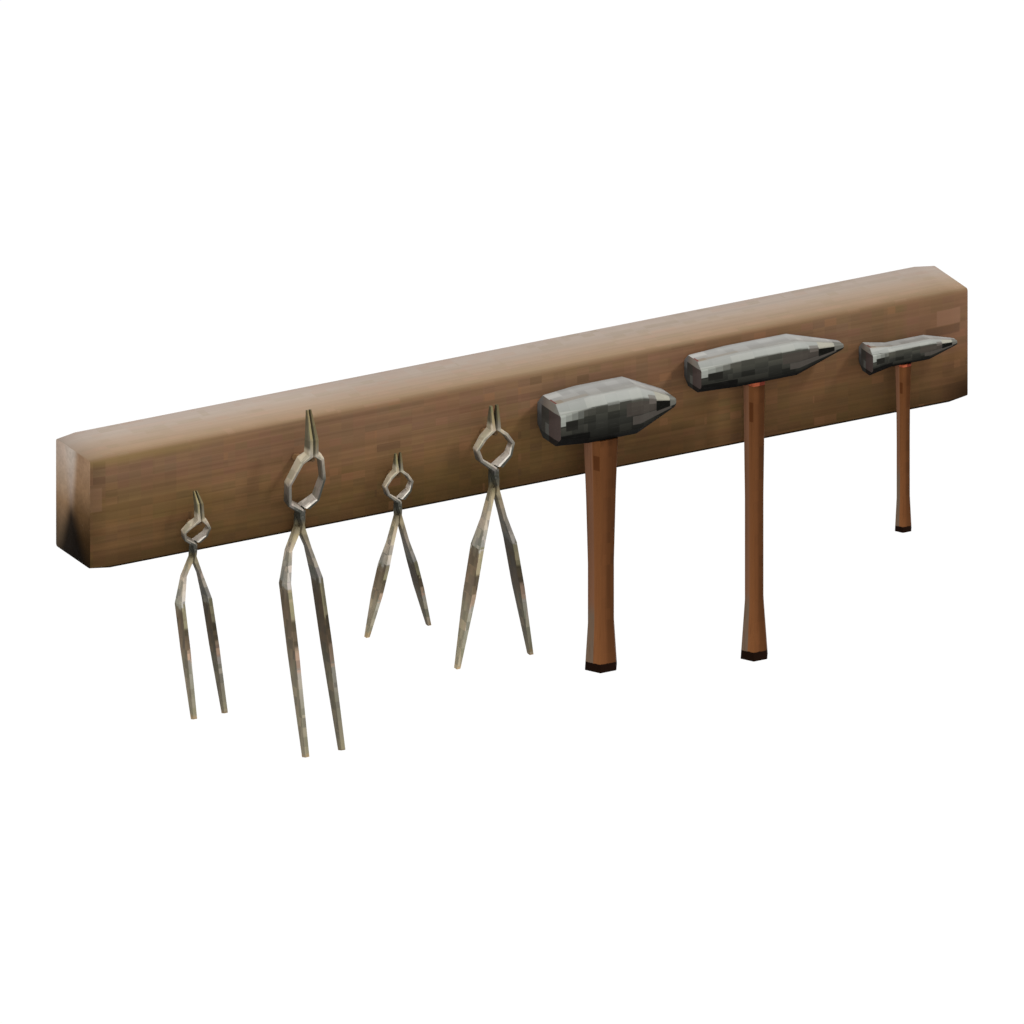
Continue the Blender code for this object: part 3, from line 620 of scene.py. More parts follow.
def bevelled(piece, width, angle):
    """Eases the edges that turn by more than an angle, and keeps the result as a plain mesh."""
    bevel = piece.modifiers.new("eased edges", "BEVEL")
    bevel.width = width
    bevel.segments = BEVEL_SEGMENTS
    bevel.limit_method = "ANGLE"
    bevel.angle_limit = angle
    bevel.use_clamp_overlap = True
    ready = piece.evaluated_get(bpy.context.evaluated_depsgraph_get())
    old, mesh = piece.data, bpy.data.meshes.new_from_object(ready)
    piece.modifiers.clear()
    piece.data = mesh
    mesh.name = piece.name
    bpy.data.meshes.remove(old)


head_pieces = {}
for number, width in HEAD_BEVEL.items():
    head = merged_copy(f"hammer_{number}_head", f"hammer_{number}_forged_head")
    bevelled(head, width, HEAD_EDGE_ANGLE)
    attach(head, f"hammer_{number}")
    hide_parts(f"hammer_{number}_head")
    head_pieces[number] = head
    print(head.name, len(head.data.polygons), "faces")

# %% [markdown]
# The steel is painted light where it faces up and painted shade lower down. So the tone goes round the head:
# 0 at the back, a quarter underneath, a half in front, three quarters on top. Normals could give that too,
# but they jump from facet to facet. Here both ways across the head are taken as shares of the section's size
# at that place, so that the tones follow the facets all the way to the peen.

# %% Hammer head tones
# Half height and half depth of the face, the barrel and the peen, then where the barrel starts and stops
HEAD_SECTIONS = {
    1: ((0.0252, 0.0277), (0.0281, 0.0277), (0.0055, 0.0192), (0.0418, 0.1016)),
    2: ((0.0185, 0.0203), (0.0203, 0.0203), (0.0038, 0.0080), (0.0479, 0.1244)),
    3: ((0.0169, 0.0169), (0.0121, 0.0121), (0.0034, 0.0054), (0.0280, 0.0764)),
}


def section_shares(steel, number, along, tall, deep, length):
    """How far up and how far back a point lies, as shares of the section there."""
    face_size, barrel_size, peen_size, (start, stop) = HEAD_SECTIONS[number]
    shares = []
    for way, at_face, at_barrel, at_peen in zip((tall, deep), face_size, barrel_size, peen_size):
        grown = steel.step(along, 0.0, start, "LINEAR", at_face, at_barrel)
        tapered = steel.step(along, stop, length, "LINEAR", 0.0, at_barrel - at_peen)
        shares.append(steel.maths("DIVIDE", way, steel.maths("SUBTRACT", grown, tapered)))
    return shares


def barrel_light_and_shade(steel, around, mood):
    """The tones round the head, painted light on top and painted shade underneath, then its worn blocks,
    which are strongest in front.
    """
    base = steel.chart(around, [
        (0.0, colour(66, 66, 64)), (0.15, colour(28, 28, 26)), (0.25, colour(6, 6, 5)),
        (0.37, colour(13, 13, 12)), (0.41, colour(29, 29, 26)), (0.5, colour(52, 52, 48)),
        (0.55, colour(66, 66, 60)), (0.586, colour(74, 73, 67)), (0.600, colour(146, 148, 143)),
        (0.65, colour(154, 155, 151)), (0.67, colour(150, 148, 143)), (0.74, colour(160, 159, 156)),
        (0.80, colour(170, 170, 168)), (0.9, colour(124, 124, 120)), (1.0, colour(66, 66, 64))])
    patches = steel.chart(mood, [
        (0.15, (0.55, 0.55, 0.53, 1.0)), (0.42, (0.90, 0.90, 0.88, 1.0)),
        (0.58, (1.10, 1.09, 1.07, 1.0)), (0.85, (1.65, 1.61, 1.54, 1.0))])
    return steel.blend(steel.step(around, 0.6, 0.56, "LINEAR", 0.28, 0.9), base, patches, "MULTIPLY")


print("head tones ready")

# %% [markdown]
# Grinding and use leave blocks of a different grey, each with its own place on the head. They come from a
# list: a stretch of the length, a stretch of the turn round the head, how strong the block is, and its
# paint. The striking face has its own tones: a dark flat, rusty in front, inside a rim with painted light
# at the top and painted shade below.

# %% Hammer head wear
# How far from the peen's tip its pale and dark blocks start and stop
PEEN_BANDS = {1: (0.029, 0.010), 2: (0.036, 0.0135), 3: (0.0215, 0.0073)}
PAST_THE_END = 0.001
FACE_FLAT = 0.56     # share of the section that the flat of the face takes up
RIM_BORDER = 0.02
WIPED_BLOCK = 0.05   # share of the length
WIPED_BLOCKS = 4
UPPER_EDGE = 0.592   # where the turn comes to the upper front edge
ALONG_BORDER = 0.0004
TURN_BORDER = 0.004


def head_marks(length, start, inner, outer):
    return [  # from, to, lower turn, upper turn, strength, paint
        # In front: bright next to the face, dark scale below that, and brown wear to the right
        (-PAST_THE_END, WIPED_BLOCK * length, 0.51, UPPER_EDGE, 0.9, (154, 157, 150)),
        (WIPED_BLOCK * length, 3 * WIPED_BLOCK * length, 0.47, 0.54, 0.9, (32, 31, 28)),
        (-PAST_THE_END, 0.25 * length, 0.30, 0.445, 0.9, (14, 13, 12)),
        (0.55 * length, length - inner, 0.489, 0.578, 0.7, (72, 65, 60)),
        (0.60 * length, length - 0.8 * outer, 0.432, 0.489, 0.8, (80, 75, 70)),
        # On the peen: a brown block, then a pale one over a dark one, and a grey tip
        (length - 1.35 * inner, length - inner, 0.55, 0.62, 0.7, (104, 97, 91)),
        (length - inner, length - outer, 0.574, 0.666, 0.9, (158, 155, 142)),
        (length - inner, length - outer, 0.47, 0.574, 1.0, (18, 18, 15)),
        (length - outer, length + PAST_THE_END, 0.47, 0.7, 0.85, (106, 105, 98)),
        # On the upper edge next to the face: a brown patch and a streak of rust
        (0.02 * length, 0.28 * length, 0.664, 0.70, 0.35, (150, 138, 122)),
        (0.0022, 0.13 * start + 0.006, 0.664, 0.71, 0.6, (136, 122, 104)),
        (-PAST_THE_END, 0.0030, 0.668, 0.745, 0.9, (112, 46, 36)),
    ]


def face_tones(steel, tall_share, deep_share):
    """The striking face: a dark flat, rusty in front, and a rim with painted light at the top, painted light
    and shade behind, and painted shade below.
    """
    face = steel.blend(steel.step(deep_share, -0.06, -0.07, "LINEAR"), colour(74, 73, 69), colour(86, 75, 72))
    spot = steel.product(steel.band(deep_share, -0.06, 0.25, 0.01),
                         steel.step(tall_share, -0.14, -0.15, "LINEAR"), 0.9)
    face = steel.blend(spot, face, colour(102, 103, 99))
    rim_behind_light_and_shade = steel.chart(steel.step(tall_share, -1.0, 1.0, "LINEAR"), [
        (0.2, colour(70, 70, 69)), (0.5, colour(86, 87, 87)), (0.62, colour(120, 123, 124)),
        (0.9, colour(128, 131, 132))])
    face = steel.blend(steel.step(deep_share, FACE_FLAT, FACE_FLAT + RIM_BORDER, "LINEAR"), face, rim_behind_light_and_shade)
    rim_below_painted_shade = steel.blend(steel.step(deep_share, 0.0, -0.05, "LINEAR"),
                            colour(56, 57, 55), colour(42, 38, 36))
    face = steel.blend(steel.step(tall_share, -0.66, -0.68, "LINEAR"), face, rim_below_painted_shade)
    rim_above_painted_light = steel.chart(steel.step(deep_share, -0.6, 0.6, "LINEAR"), [
        (0.0, colour(146, 145, 138)), (0.45, colour(152, 144, 134)), (0.8, colour(134, 126, 118)),
        (1.0, colour(130, 131, 130))])
    return steel.blend(steel.step(tall_share, FACE_FLAT, FACE_FLAT + RIM_BORDER, "LINEAR"), face, rim_above_painted_light)


print("head wear ready")

# %% [markdown]
# Now the parts come together. The head's coordinates are moved to the middle of its face, so that all lengths
# count from there, and one function finishes three heads of different sizes.

# %% Hammer head finish
HEAD_BLOCK = {1: (0.0150, 0.0090, 0.0088), 2: (0.0170, 0.0070, 0.0064), 3: (0.0105, 0.0045, 0.0040)}


def head_finish(number):
    low, high = corners(f"hammer_{number}_head")
    middle = (low + high) / 2
    length = high.x - low.x
    block = HEAD_BLOCK[number]
    steel = Finish(f"forged head {number}", roughness=0.65, gloss=0.02)
    own = steel.moved((-low.x, -middle.y, -middle.z))
    along, deep, tall = steel.parts(own)
    value, _ = steel.cells(block, place=own)
    long_value, _ = steel.cells((2.6 * block[0], block[1], block[2]), shift=(0.004, 0.0, 0.0), place=own)
    scratch = steel.noise((60.0, 900.0, 900.0))
    cloud = steel.noise((40.0, 60.0, 60.0))

    tall_share, deep_share = section_shares(steel, number, along, tall, deep, length)
    turned = steel.maths("ARCTAN2", tall_share, steel.product(deep_share, -1.0))
    turned = steel.total(steel.maths("DIVIDE", turned, 2 * math.pi), 0.5)
    around = steel.total(turned, steel.step(value, 0.0, 1.0, "LINEAR", -0.005, 0.005))
    mood = steel.total(steel.product(value, 0.5), steel.product(long_value, 0.5))
    base = barrel_light_and_shade(steel, around, mood)

    def zone(first, last, low_turn, high_turn, strength=1.0):
        return steel.product(steel.band(along, first, last, ALONG_BORDER),
                             steel.band(turned, low_turn, high_turn, TURN_BORDER, strength))

    # Wiped bright in front next to the face, less with every block
    wiped_and_lit = steel.maths("FLOOR", steel.maths("DIVIDE", along, WIPED_BLOCK * length))
    wiped_and_lit = steel.step(wiped_and_lit, 0.0, WIPED_BLOCKS, "LINEAR", 0.95, 0.0)
    wiped_and_lit = steel.product(wiped_and_lit, zone(-PAST_THE_END, WIPED_BLOCKS * WIPED_BLOCK * length, 0.54, UPPER_EDGE))
    base = steel.blend(wiped_and_lit, base, colour(156, 159, 152))
    start = HEAD_SECTIONS[number][3][0]
    for *place, strength, paint in head_marks(length, start, *PEEN_BANDS[number]):
        base = steel.blend(zone(*place, strength), base, colour(*paint))

    face = face_tones(steel, tall_share, deep_share)
    base = steel.blend(steel.step(steel.facing(LEFT), 0.6, 0.8), base, face)
    base = steel.blend(steel.step(scratch, 0.55, 0.8, end=0.08), base, colour(120, 120, 117))
    steel.put(steel.shader.inputs["Metallic"], steel.step(turned, 0.56, 0.6, "LINEAR", 0.0, 0.4))
    rough = steel.step(steel.total(cloud, value), 0.4, 1.5, "LINEAR", 0.6, 0.75)
    relief = steel.total(scratch, steel.product(cloud, 0.8))
    return steel.done(base, rough, relief, 0.00012)


for number, head in head_pieces.items():
    finish_piece(head, head_finish(number))

# %% [markdown]
# ## Hammer handles
# A handle follows one rule: a six-sided bar that narrows from the head to the grip, then flares out at the
# end. Three handles with one rule are a job for Geometry Nodes. A line runs down the handle, a width is
# worked out for every point of it, and a filleted hexagon is swept along. The tenon is a second, straight
# sweep up into the head.

# %% Handle tree
HANDLE_STATIONS = 61
CORNER_STEPS = 3
TENON_SHARE = 0.7   # of the handle's width at the top


def handle_tree():
    tree = bpy.data.node_groups.new("waisted handle", "GeometryNodeTree")
    for name in ("Length", "Tenon length", "Top half width", "Upper half width", "Upper share",
                 "Grip half width", "Grip share", "Flare share", "End half width", "Corner share"):
        tree.interface.new_socket(name, in_out="INPUT", socket_type="NodeSocketFloat")
    tree.interface.new_socket("Foot", in_out="INPUT", socket_type="NodeSocketVector")
    tree.interface.new_socket("Finish", in_out="INPUT", socket_type="NodeSocketMaterial")
    tree.interface.new_socket("Geometry", in_out="OUTPUT", socket_type="NodeSocketGeometry")
    given = tree.nodes.new("NodeGroupInput").outputs

    def node(kind, settings=(), **links):
        """A node with its sockets set or linked: _0 is the first one, Fill_Caps the one called Fill Caps."""
        made = tree.nodes.new(kind)
        for key, value in settings:
            setattr(made, key, value)
        for name, value in links.items():
            key = int(name[1:]) if name.startswith("_") else name.replace("_", " ")
            if isinstance(value, bpy.types.NodeSocket):
                tree.links.new(value, made.inputs[key])
            else:
                made.inputs[key].default_value = value
        return made.outputs[0]

    def maths(operation, first, second):
        return node("ShaderNodeMath", [("operation", operation)], _0=first, _1=second)

    def growth(start, end, first, last):
        """What the half width gains between two shares of the length."""
        gain = maths("SUBTRACT", given[last], given[first])
        return node("ShaderNodeMapRange", _0=share, _1=start, _2=end, _3=0.0, _4=gain)

    hexagon = node("GeometryNodeCurvePrimitiveCircle", [("mode", "RADIUS")], Resolution=6, Radius=1.0)
    hexagon = node("GeometryNodeFilletCurve", [("mode", "POLY")], Curve=hexagon, Count=CORNER_STEPS,
                   Radius=given["Corner share"])

    share = node("GeometryNodeSplineParameter")
    width = given["Top half width"]
    for change in (growth(0.0, given["Upper share"], "Top half width", "Upper half width"),
                   growth(given["Upper share"], given["Grip share"], "Upper half width", "Grip half width"),
                   growth(given["Flare share"], 1.0, "Grip half width", "End half width")):
        width = maths("ADD", width, change)

    down = node("ShaderNodeCombineXYZ", Z=maths("MULTIPLY", given["Length"], -1.0))
    line = node("GeometryNodeCurvePrimitiveLine", End=down)
    line = node("GeometryNodeResampleCurve", Curve=line, Count=HANDLE_STATIONS)
    bar = node("GeometryNodeCurveToMesh", Curve=line, Profile_Curve=hexagon, Scale=width, Fill_Caps=True)

    up = node("ShaderNodeCombineXYZ", Z=given["Tenon length"])
    stub = node("GeometryNodeCurvePrimitiveLine", End=up)
    tenon = node("GeometryNodeCurveToMesh", Curve=stub, Profile_Curve=hexagon, Fill_Caps=True,
                 Scale=maths("MULTIPLY", given["Top half width"], TENON_SHARE))
    join = tree.nodes.new("GeometryNodeJoinGeometry")
    tree.links.new(tenon, join.inputs[0])
    tree.links.new(bar, join.inputs[0])
    whole = node("GeometryNodeTransform", Geometry=join.outputs[0], Translation=given["Foot"])
    whole = node("GeometryNodeRealizeInstances", Geometry=whole)
    whole = node("GeometryNodeSetMaterial", Geometry=whole, Material=given["Finish"])
    output = tree.nodes.new("NodeGroupOutput")
    tree.links.new(whole, output.inputs[0])
    return tree


waisted_handle = handle_tree()
print("handle tree:", len(waisted_handle.nodes), "nodes")

# %% [markdown]
# The handle's wood is oiled and orange-brown in front, greyer on the left, darker on the right, with painted
# light just under the head against its shadow. The end was dipped in dark paint. All of it depends on the
# place around and along the handle, so the finish first moves the coordinates to the handle's own axis.

# %% Handle finish
HANDLES = {
    1: {"axis_y": -0.1137, "shoulder": -0.0095, "Length": 0.2769, "Top half width": 0.0217,
        "Upper half width": 0.0187, "Upper share": 0.26, "Grip half width": 0.0164, "Grip share": 0.55,
        "Flare share": 0.80, "End half width": 0.0202, "dip": 0.0102, "patch": (-0.028, -0.046)},
    2: {"axis_y": -0.1063, "shoulder": 0.0127, "Length": 0.3256, "Top half width": 0.0135,
        "Upper half width": 0.0123, "Upper share": 0.290, "Grip half width": 0.0117, "Grip share": 0.412,
        "Flare share": 0.787, "End half width": 0.0171, "dip": 0.0105, "patch": (-0.006, -0.030)},
    3: {"axis_y": -0.1029, "shoulder": -0.0022, "Length": 0.1965, "Top half width": 0.0100,
        "Upper half width": 0.0086, "Upper share": 0.248, "Grip half width": 0.0083, "Grip share": 0.441,
        "Flare share": 0.797, "End half width": 0.0105, "dip": 0.0068, "patch": (-0.020, -0.034)},
}
DIP_BORDER = 0.0003
LEFT_EDGE = 0.592   # where the turn comes from the left facet to the front


def handle_finish(number, size, axis):
    wood = Finish(f"oiled handle {number}", roughness=0.6, gloss=0.03)
    across, deep, tall = wood.parts(wood.moved((-axis.x, -axis.y, 0.0)))
    turn = wood.turn(across, deep)
    fine = wood.noise((420.0, 420.0, 7.0), detail=4.0, shift=(0.3 * number, 0.0, 0.0))
    cell, _ = wood.cells((0.0052, 0.0052, 0.013), shift=(0.0, 0.0, 0.004 * number))
    shoulder = size["shoulder"]
    foot = shoulder - size["Length"]

    # The tone goes round the handle: grey-brown on the left, orange-brown in front, dark on the right
    base = wood.chart(turn, [
        (0.0, colour(84, 50, 28)), (0.25, colour(104, 66, 40)), (0.45, colour(108, 77, 58)),
        (0.58, colour(128, 91, 69)), (0.59, colour(131, 85, 52)), (0.665, colour(125, 80, 47)),
        (0.67, colour(106, 67, 39)), (0.72, colour(100, 62, 36)), (0.76, colour(80, 49, 27)),
        (0.84, colour(70, 42, 23))])
    grey = wood.product(wood.step(tall, foot + 0.085, foot + 0.06), wood.step(turn, 0.59, 0.58, "LINEAR"))
    base = wood.blend(grey, base, colour(110, 93, 78))

    # Paler towards the foot, and painted light just under the head and high up on the left, against the
    # head's shadow
    left_painted_light = wood.product(wood.step(turn, LEFT_EDGE, LEFT_EDGE - 0.006, "LINEAR"),
                              wood.step(tall, shoulder - 0.12, shoulder - 0.02, end=0.28))
    base = wood.toned(base, wood.total(
        wood.step(tall, shoulder, foot, "LINEAR", 0.86, 1.28),
        wood.step(tall, shoulder - 0.02, shoulder - 0.006, end=0.12), left_painted_light))
    base = wood.blend(wood.step(fine, 0.5, 0.75, end=0.35), base, colour(86, 50, 26))
    base = wood.blend(wood.step(cell, 0.0, 1.0, "LINEAR", 0.0, 0.12), base, colour(140, 88, 50))

    # A darker patch under the head, and the dipped end
    high, low = size["patch"]
    patch = wood.product(wood.band(tall, low, high, 0.0006), wood.band(turn, LEFT_EDGE, 0.662, 0.004), 0.75)
    base = wood.blend(patch, base, colour(88, 48, 22))
    ragged = wood.total(tall, wood.step(fine, 0.3, 0.7, "LINEAR", -0.0004, 0.0004))
    dip = foot + size["dip"]
    dipped = wood.step(ragged, dip + DIP_BORDER, dip - DIP_BORDER, "LINEAR")
    base = wood.blend(dipped, base, colour(28, 14, 7))
    return wood.done(base, wood.step(fine, 0.3, 0.7, "LINEAR", 0.45, 0.65), fine, 0.0002)


print("handle sizes:", len(HANDLES))

# %% [markdown]
# Each handle is grown by the tree on an empty maker object, which gets the sizes by the sockets'
# identifiers. The evaluated result becomes a plain mesh, and the maker goes. The tenon stops just under the
# wedge.

# %% Handle meshes
CORNER_SHARE = 0.05
WEDGE_GAP = 0.0005
HANDLE_END_BEVEL = 0.0007
HANDLE_END_ANGLE = math.radians(70)


def handle(number, size):
    low, high = corners(f"hammer_{number}_handle")
    axis = Vector(((low.x + high.x) / 2, size["axis_y"], 0.0))
    wedge_foot = corners(f"hammer_{number}_wedge")[0].z
    values = dict(size, Foot=(axis.x, axis.y, size["shoulder"]), Finish=handle_finish(number, size, axis))
    values["Corner share"] = CORNER_SHARE
    values["Tenon length"] = wedge_foot - WEDGE_GAP - size["shoulder"]

    name = f"hammer_{number}_turned_handle"
    maker = bpy.data.objects.new(name + "_maker", bpy.data.meshes.new(name + "_maker"))
    scene.collection.objects.link(maker)
    grown = maker.modifiers.new("waisted handle", "NODES")
    grown.node_group = waisted_handle
    for item in waisted_handle.interface.items_tree:
        if item.in_out == "INPUT":
            grown[item.identifier] = values[item.name]
    ready = maker.evaluated_get(bpy.context.evaluated_depsgraph_get())
    piece = bpy.data.objects.new(name, bpy.data.meshes.new_from_object(ready))
    piece.data.name = name
    bpy.data.objects.remove(maker)
    scene.collection.objects.link(piece)
    bevelled(piece, HANDLE_END_BEVEL, HANDLE_END_ANGLE)
    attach(piece, f"hammer_{number}")
    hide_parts(f"hammer_{number}_handle")
    return piece


for number, size in HANDLES.items():
    piece = handle(number, size)
    heights = [point.co.z for point in piece.data.vertices]
    long = round(1000 * (max(heights) - min(heights)), 1)
    print(piece.name, len(piece.data.polygons), "faces,", long, "mm long with its tenon")

# %% [markdown]
# ## Tongs
# The tongs are forged iron: pale on the bow, partly as painted light, olive on the jaws, dark round the boss
# where the two halves rub, and patchy down the reins. The solids already have every forged facet, so they
# stay and only get a finish. A chart along the height gives each zone its tone, blocks of random brightness
# make it patchy, and painted light and shade make faces that look up brighter than those that look down or
# away.

# %% Tongs tones
TongsHeights = namedtuple("TongsHeights", "tip jaw top foot boss crotch knee bend end")
TONGS_HEIGHTS = {   # top and foot are the bow's, the boss is given by its foot, the end is the reins'
    1: TongsHeights(0.0121, -0.0004, -0.0183, -0.0485, -0.0665, -0.0746, -0.0901, -0.1202, -0.2441),
    2: TongsHeights(0.0900, 0.0574, 0.0391, -0.0314, -0.0544, -0.0649, -0.0835, -0.1192, -0.3067),
    3: TongsHeights(0.0115, 0.0014, -0.0096, -0.0426, -0.0609, -0.0718, -0.0932, -0.1194, -0.2002),
    4: TongsHeights(0.0485, 0.0350, 0.0207, -0.0230, -0.0474, -0.0581, -0.0838, -0.1151, -0.2557),
}
BAR_FRONT = (0.35, -0.94, 0.0)   # the way that the bars' narrow fronts look


def down_rein(at, part):
    """A height on the rein: 0 is its bend, 1 its end."""
    return at.bend + part * (at.end - at.bend)


def bar_tones(iron, at, height):
    """The bars from the rein's end up to the tip: narrow pale fronts, duller and browner sides, with painted
    light where the sides look up and painted shade where they look down.
    """
    share = iron.step(height, at.end, at.tip, "LINEAR")
    in_boss = 0.7 * at.boss + 0.3 * at.foot

    def tones(stops):
        return iron.chart(share, [((z - at.end) / (at.tip - at.end), colour(*paint)) for z, paint in stops])

    front = tones([
        (at.end, (172, 150, 118)), (at.end + 0.0035, (172, 150, 118)), (at.end + 0.0045, (154, 145, 122)),
        (down_rein(at, 0.75), (148, 143, 125)), (down_rein(at, 0.5), (166, 160, 149)),
        (down_rein(at, 0.48), (176, 151, 131)), (down_rein(at, 0.38), (174, 149, 128)),
        (down_rein(at, 0.36), (104, 90, 74)), (down_rein(at, 0.21), (88, 79, 63)),
        (down_rein(at, 0.19), (150, 142, 114)), (at.bend - 0.001, (150, 142, 116)),
        (at.bend, (176, 172, 166)), (at.knee, (192, 180, 163)), (at.crotch, (172, 160, 132)),
        (at.boss, (128, 118, 92)), (in_boss, (84, 82, 71)), (at.foot - 0.003, (80, 81, 75)),
        (at.foot + 0.001, (116, 113, 105)), (0.5 * (at.foot + at.top), (134, 129, 119)),
        (at.top, (178, 169, 152)), (at.jaw, (150, 138, 104)), (at.tip, (136, 124, 88))])
    side = tones([
        (at.end, (170, 148, 116)), (at.end + 0.0035, (170, 148, 116)), (at.end + 0.0045, (148, 139, 118)),
        (down_rein(at, 0.5), (140, 131, 111)), (down_rein(at, 0.36), (124, 110, 91)),
        (down_rein(at, 0.1), (112, 97, 77)), (at.bend - 0.001, (120, 111, 93)), (at.bend, (150, 149, 138)),
        (at.knee, (188, 176, 158)), (at.crotch, (172, 160, 132)), (at.boss, (124, 114, 90)),
        (in_boss, (80, 78, 68)), (at.foot - 0.003, (70, 71, 64)), (at.foot + 0.001, (150, 142, 132)),
        (at.top, (160, 151, 134)), (0.5 * (at.top + at.jaw), (120, 115, 97)), (at.tip, (96, 89, 66))])
    # Painted light on sides that look up, painted shade on sides that look down
    slope = iron.step(iron.facing(UP), -1.0, 1.0, "LINEAR")
    side = iron.blend(1.0, side, iron.chart(slope, [
        (0.0, (0.3, 0.3, 0.29, 1.0)), (0.35, (0.5, 0.5, 0.49, 1.0)), (0.5, (0.9, 0.9, 0.9, 1.0)),
        (0.62, (1.1, 1.1, 1.1, 1.0)), (0.9, (1.4, 1.38, 1.36, 1.0))]), "MULTIPLY")
    return iron.blend(iron.step(iron.facing(BAR_FRONT), 0.60, 0.64, "LINEAR"), side, front)


print("tongs tones ready")

# %% [markdown]
# The bow has painted light on its left shoulder and in the cup at its foot, and painted shade under the
# shoulder and in front on the lower right. Each mark needs a stretch of the height and a way to face.

# %% Tongs bow
ON_A_SIDE = 0.002   # width of the change from one side of the tongs to the other


def bow_light_and_shade(iron, base, at, middle):
    waist = 0.5 * (at.foot + at.top)
    in_bow = iron.step(iron.z, at.foot - 0.006, at.foot - 0.002)
    on_left = iron.step(iron.x, middle, middle - ON_A_SIDE)
    on_right = iron.step(iron.x, middle, middle + ON_A_SIDE)
    # Painted light on the left shoulder
    shoulder = iron.product(iron.step(iron.facing((-1.0, 0.0, 0.2)), 0.45, 0.65), on_left,
                            iron.step(iron.z, waist - 0.004, waist + 0.006),
                            iron.step(iron.z, at.top + 0.011, at.top + 0.005, end=0.85))
    base = iron.blend(shoulder, base, colour(212, 202, 178))
    # Painted shade under the shoulder
    painted_shade_under = iron.product(iron.step(iron.facing((-1.0, 0.0, -0.2)), 0.45, 0.65), on_left, in_bow,
                         iron.step(iron.z, waist + 0.004, at.foot + 0.004, "LINEAR", 0.0, 0.8))
    base = iron.blend(painted_shade_under, base, colour(52, 50, 44))
    # Painted shade in front on the lower right
    painted_shade_in_front = iron.product(iron.step(iron.facing(BAR_FRONT), 0.6, 0.64), on_right, in_bow,
                            iron.step(iron.z, waist + 0.006, waist - 0.006, end=0.9))
    base = iron.blend(painted_shade_in_front, base, colour(70, 71, 64))
    # Painted light in the cup at the bow's foot, brighter where it looks left
    painted_light_cup = iron.product(iron.step(iron.facing(UP), 0.08, 0.3), iron.step(iron.z, waist, waist - 0.004),
                       iron.step(iron.z, at.foot - 0.007, at.foot - 0.004, end=0.95))
    wiped_and_lit = iron.blend(iron.step(iron.facing(RIGHT), -0.1, 0.1), colour(244, 238, 228), colour(170, 162, 150))
    return iron.blend(painted_light_cup, base, wiped_and_lit)


print("bow light and shade ready")

# %% [markdown]
# The four pairs differ in size but hardly in wear, so they share one function that reads its heights from
# the list. Both halves of a pair get the same material, in which only left and right of the rivet differ.

# %% Tongs finish
LEFT_REIN_LIGHT = {1: 0.0, 2: 0.0, 3: 0.32, 4: 0.26}


def tongs_finish(number):
    at = TONGS_HEIGHTS[number]
    low, high = corners(f"tongs_{number}_rivet")
    middle = (low.x + high.x) / 2
    iron = Finish(f"forged tongs {number}", roughness=0.65, metallic=0.4, gloss=0.1)
    cell, tint = iron.cells((0.0054, 0.0054, 0.0105), shift=(0.1 * number, 0.0, 0.0))
    fine = iron.noise((160.0, 160.0, 60.0), detail=4.0)
    shaken = iron.total(iron.z, iron.step(cell, 0.0, 1.0, "LINEAR", -0.004, 0.004))
    base = bow_light_and_shade(iron, bar_tones(iron, at, shaken), at, middle)

    # Painted shade on the right side, as if it hung in the shade of the left one, painted light on the left
    # rein, and every block is worn a little differently
    right_shade = iron.product(
        iron.step(iron.x, middle - 0.001, middle + 0.001, "LINEAR"),
        iron.maths("MAXIMUM", iron.step(iron.z, at.crotch + 0.004, at.crotch - 0.004, end=0.44),
                   iron.step(iron.z, at.top, at.top + 0.004, end=0.42)),
        iron.step(iron.z, down_rein(at, 0.3), down_rein(at, 0.6), start=1.0, end=0.7))
    left_painted_light = iron.product(
        iron.step(iron.x, middle + 0.001, middle - 0.001, "LINEAR"),
        iron.step(iron.z, at.bend + 0.006, at.bend - 0.006, end=LEFT_REIN_LIGHT[number]))
    base = iron.toned(base, iron.maths("SUBTRACT", iron.total(left_painted_light, 1.0), right_shade))
    patches = iron.chart(cell, [
        (0.0, (0.68, 0.67, 0.66, 1.0)), (0.5, (1.0, 1.0, 1.0, 1.0)), (1.0, (1.32, 1.31, 1.29, 1.0))])
    base = iron.blend(iron.step(iron.z, at.boss, at.foot, "LINEAR", 1.0, 0.5), base, patches, "MULTIPLY")
    base = iron.blend(0.03, base, tint, "OVERLAY")
    rough = iron.step(iron.total(fine, cell), 0.5, 1.5, "LINEAR", 0.58, 0.72)
    return iron.done(base, rough, fine, 0.00015)


for number in TONGS_HEIGHTS:
    material = tongs_finish(number)
    for half in ("front_half", "back_half"):
        dress(f"tongs_{number}_{half}", material)
    print("finish on tongs", number)

# %% [markdown]
# ## Pegs, rivets and wedges
# These small pieces hold everything together and mostly hide behind it. The pegs are brown steel, painted
# pale as light against the shadow of the tongs, the rivets dark iron like the boss, the wedges bare steel.
# Their shapes are right as they are. One function makes all three finishes from a dark and a pale paint, and
# only the pegs get a darker nose of painted shade where their front end is lit.

# %% Small metal fittings
PEG_NOSE = (-0.100, -0.106)   # where a peg's darker front of painted shade starts


def metal_finish(name, dark, pale, roughness, metallic=0.7, nose=None):
    steel = Finish(name, roughness=roughness, metallic=metallic, gloss=0.3)
    fine = steel.noise((300.0, 300.0, 300.0))
    cloud = steel.noise((50.0, 50.0, 50.0))
    base = steel.blend(steel.step(steel.total(fine, cloud), 0.8, 1.25), colour(*dark), colour(*pale))
    if nose:
        base = steel.blend(steel.step(steel.y, *PEG_NOSE), base, colour(*nose))
    rough = steel.step(cloud, 0.3, 0.7, "LINEAR", roughness - 0.1, roughness + 0.12)
    return steel.done(base, rough, fine, 0.0002)


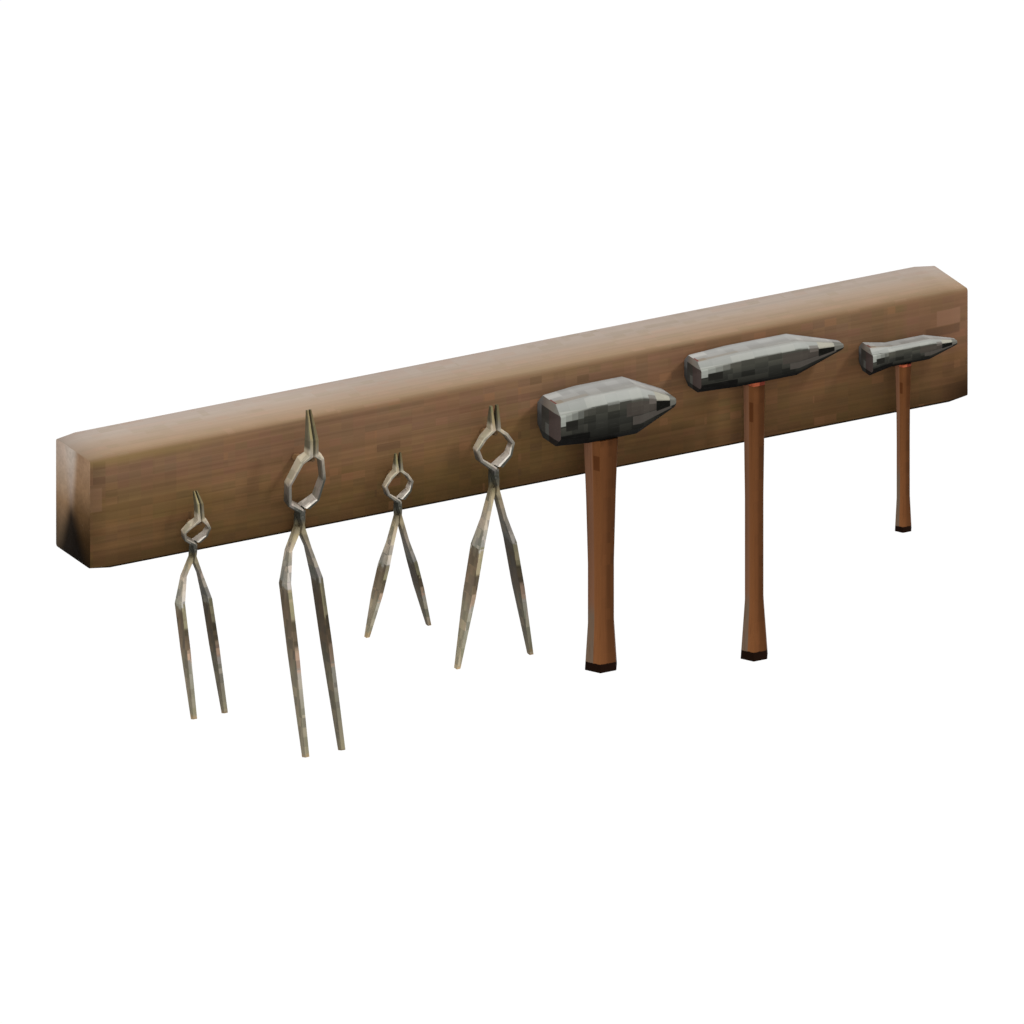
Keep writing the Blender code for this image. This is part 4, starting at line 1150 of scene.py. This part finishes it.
FITTINGS = {
    # The peg's pale paint is painted light against the tongs' shadow, its darker nose painted shade
    "_peg": metal_finish("brown peg with painted light", (138, 106, 70), (156, 120, 82), 0.75, metallic=0.1, nose=(84, 63, 39)),
    "_rivet": metal_finish("dark rivet", (60, 60, 54), (98, 96, 88), 0.5),
    "_wedge": metal_finish("bare wedge", (120, 119, 116), (160, 159, 155), 0.4),
}
for ending, material in FITTINGS.items():
    dressed = [name for name in nodes if name.endswith(ending)]
    for name in dressed:
        dress(name, material)
    print(ending[1:], "finish on", len(dressed), "pieces")

# %% [markdown]
# The two red collars are the one bright colour on the rack. They are rubber, with painted light in front and
# painted shade at the sides and on the left. Plain red would do from afar, but the tone that goes round the
# handles goes round the collars too.

# %% Red collars


def collar_finish(name):
    low, high = corners(name)
    middle = (low + high) / 2
    rubber = Finish("red " + name, roughness=0.6, gloss=0.1)
    across, deep, _ = rubber.parts(rubber.moved((-middle.x, -middle.y, 0.0)))
    turn = rubber.turn(across, deep)
    fine = rubber.noise((500.0, 500.0, 500.0))
    cell, _ = rubber.cells((0.005, 0.005, 0.005))
    speck = rubber.step(fine, 0.35, 0.7)
    painted_light_red = rubber.blend(speck, colour(176, 88, 58), colour(188, 100, 68))
    painted_shade_red = rubber.blend(speck, colour(108, 46, 32), colour(122, 52, 36))
    base = rubber.blend(rubber.step(turn, 0.752, 0.757, "LINEAR"), painted_light_red, painted_shade_red)
    # Painted shade on the left, where the head's shadow falls
    on_left = rubber.step(turn, LEFT_EDGE, LEFT_EDGE - 0.005, "LINEAR", end=0.9)
    base = rubber.blend(on_left, base, colour(122, 84, 64))
    base = rubber.blend(rubber.step(cell, 0.0, 1.0, "LINEAR", 0.0, 0.15), base, colour(150, 66, 50))
    return rubber.done(base, rubber.step(fine, 0.3, 0.7, "LINEAR", 0.45, 0.65), fine, 0.0002)


for name in ("hammer_2_collar", "hammer_3_collar"):
    dress(name, collar_finish(name))
    print("finish on", name)

# %% [markdown]
# ## End
# The dressed rack has to fill the same box as the CAD model.

# %% End
print("dressing done")
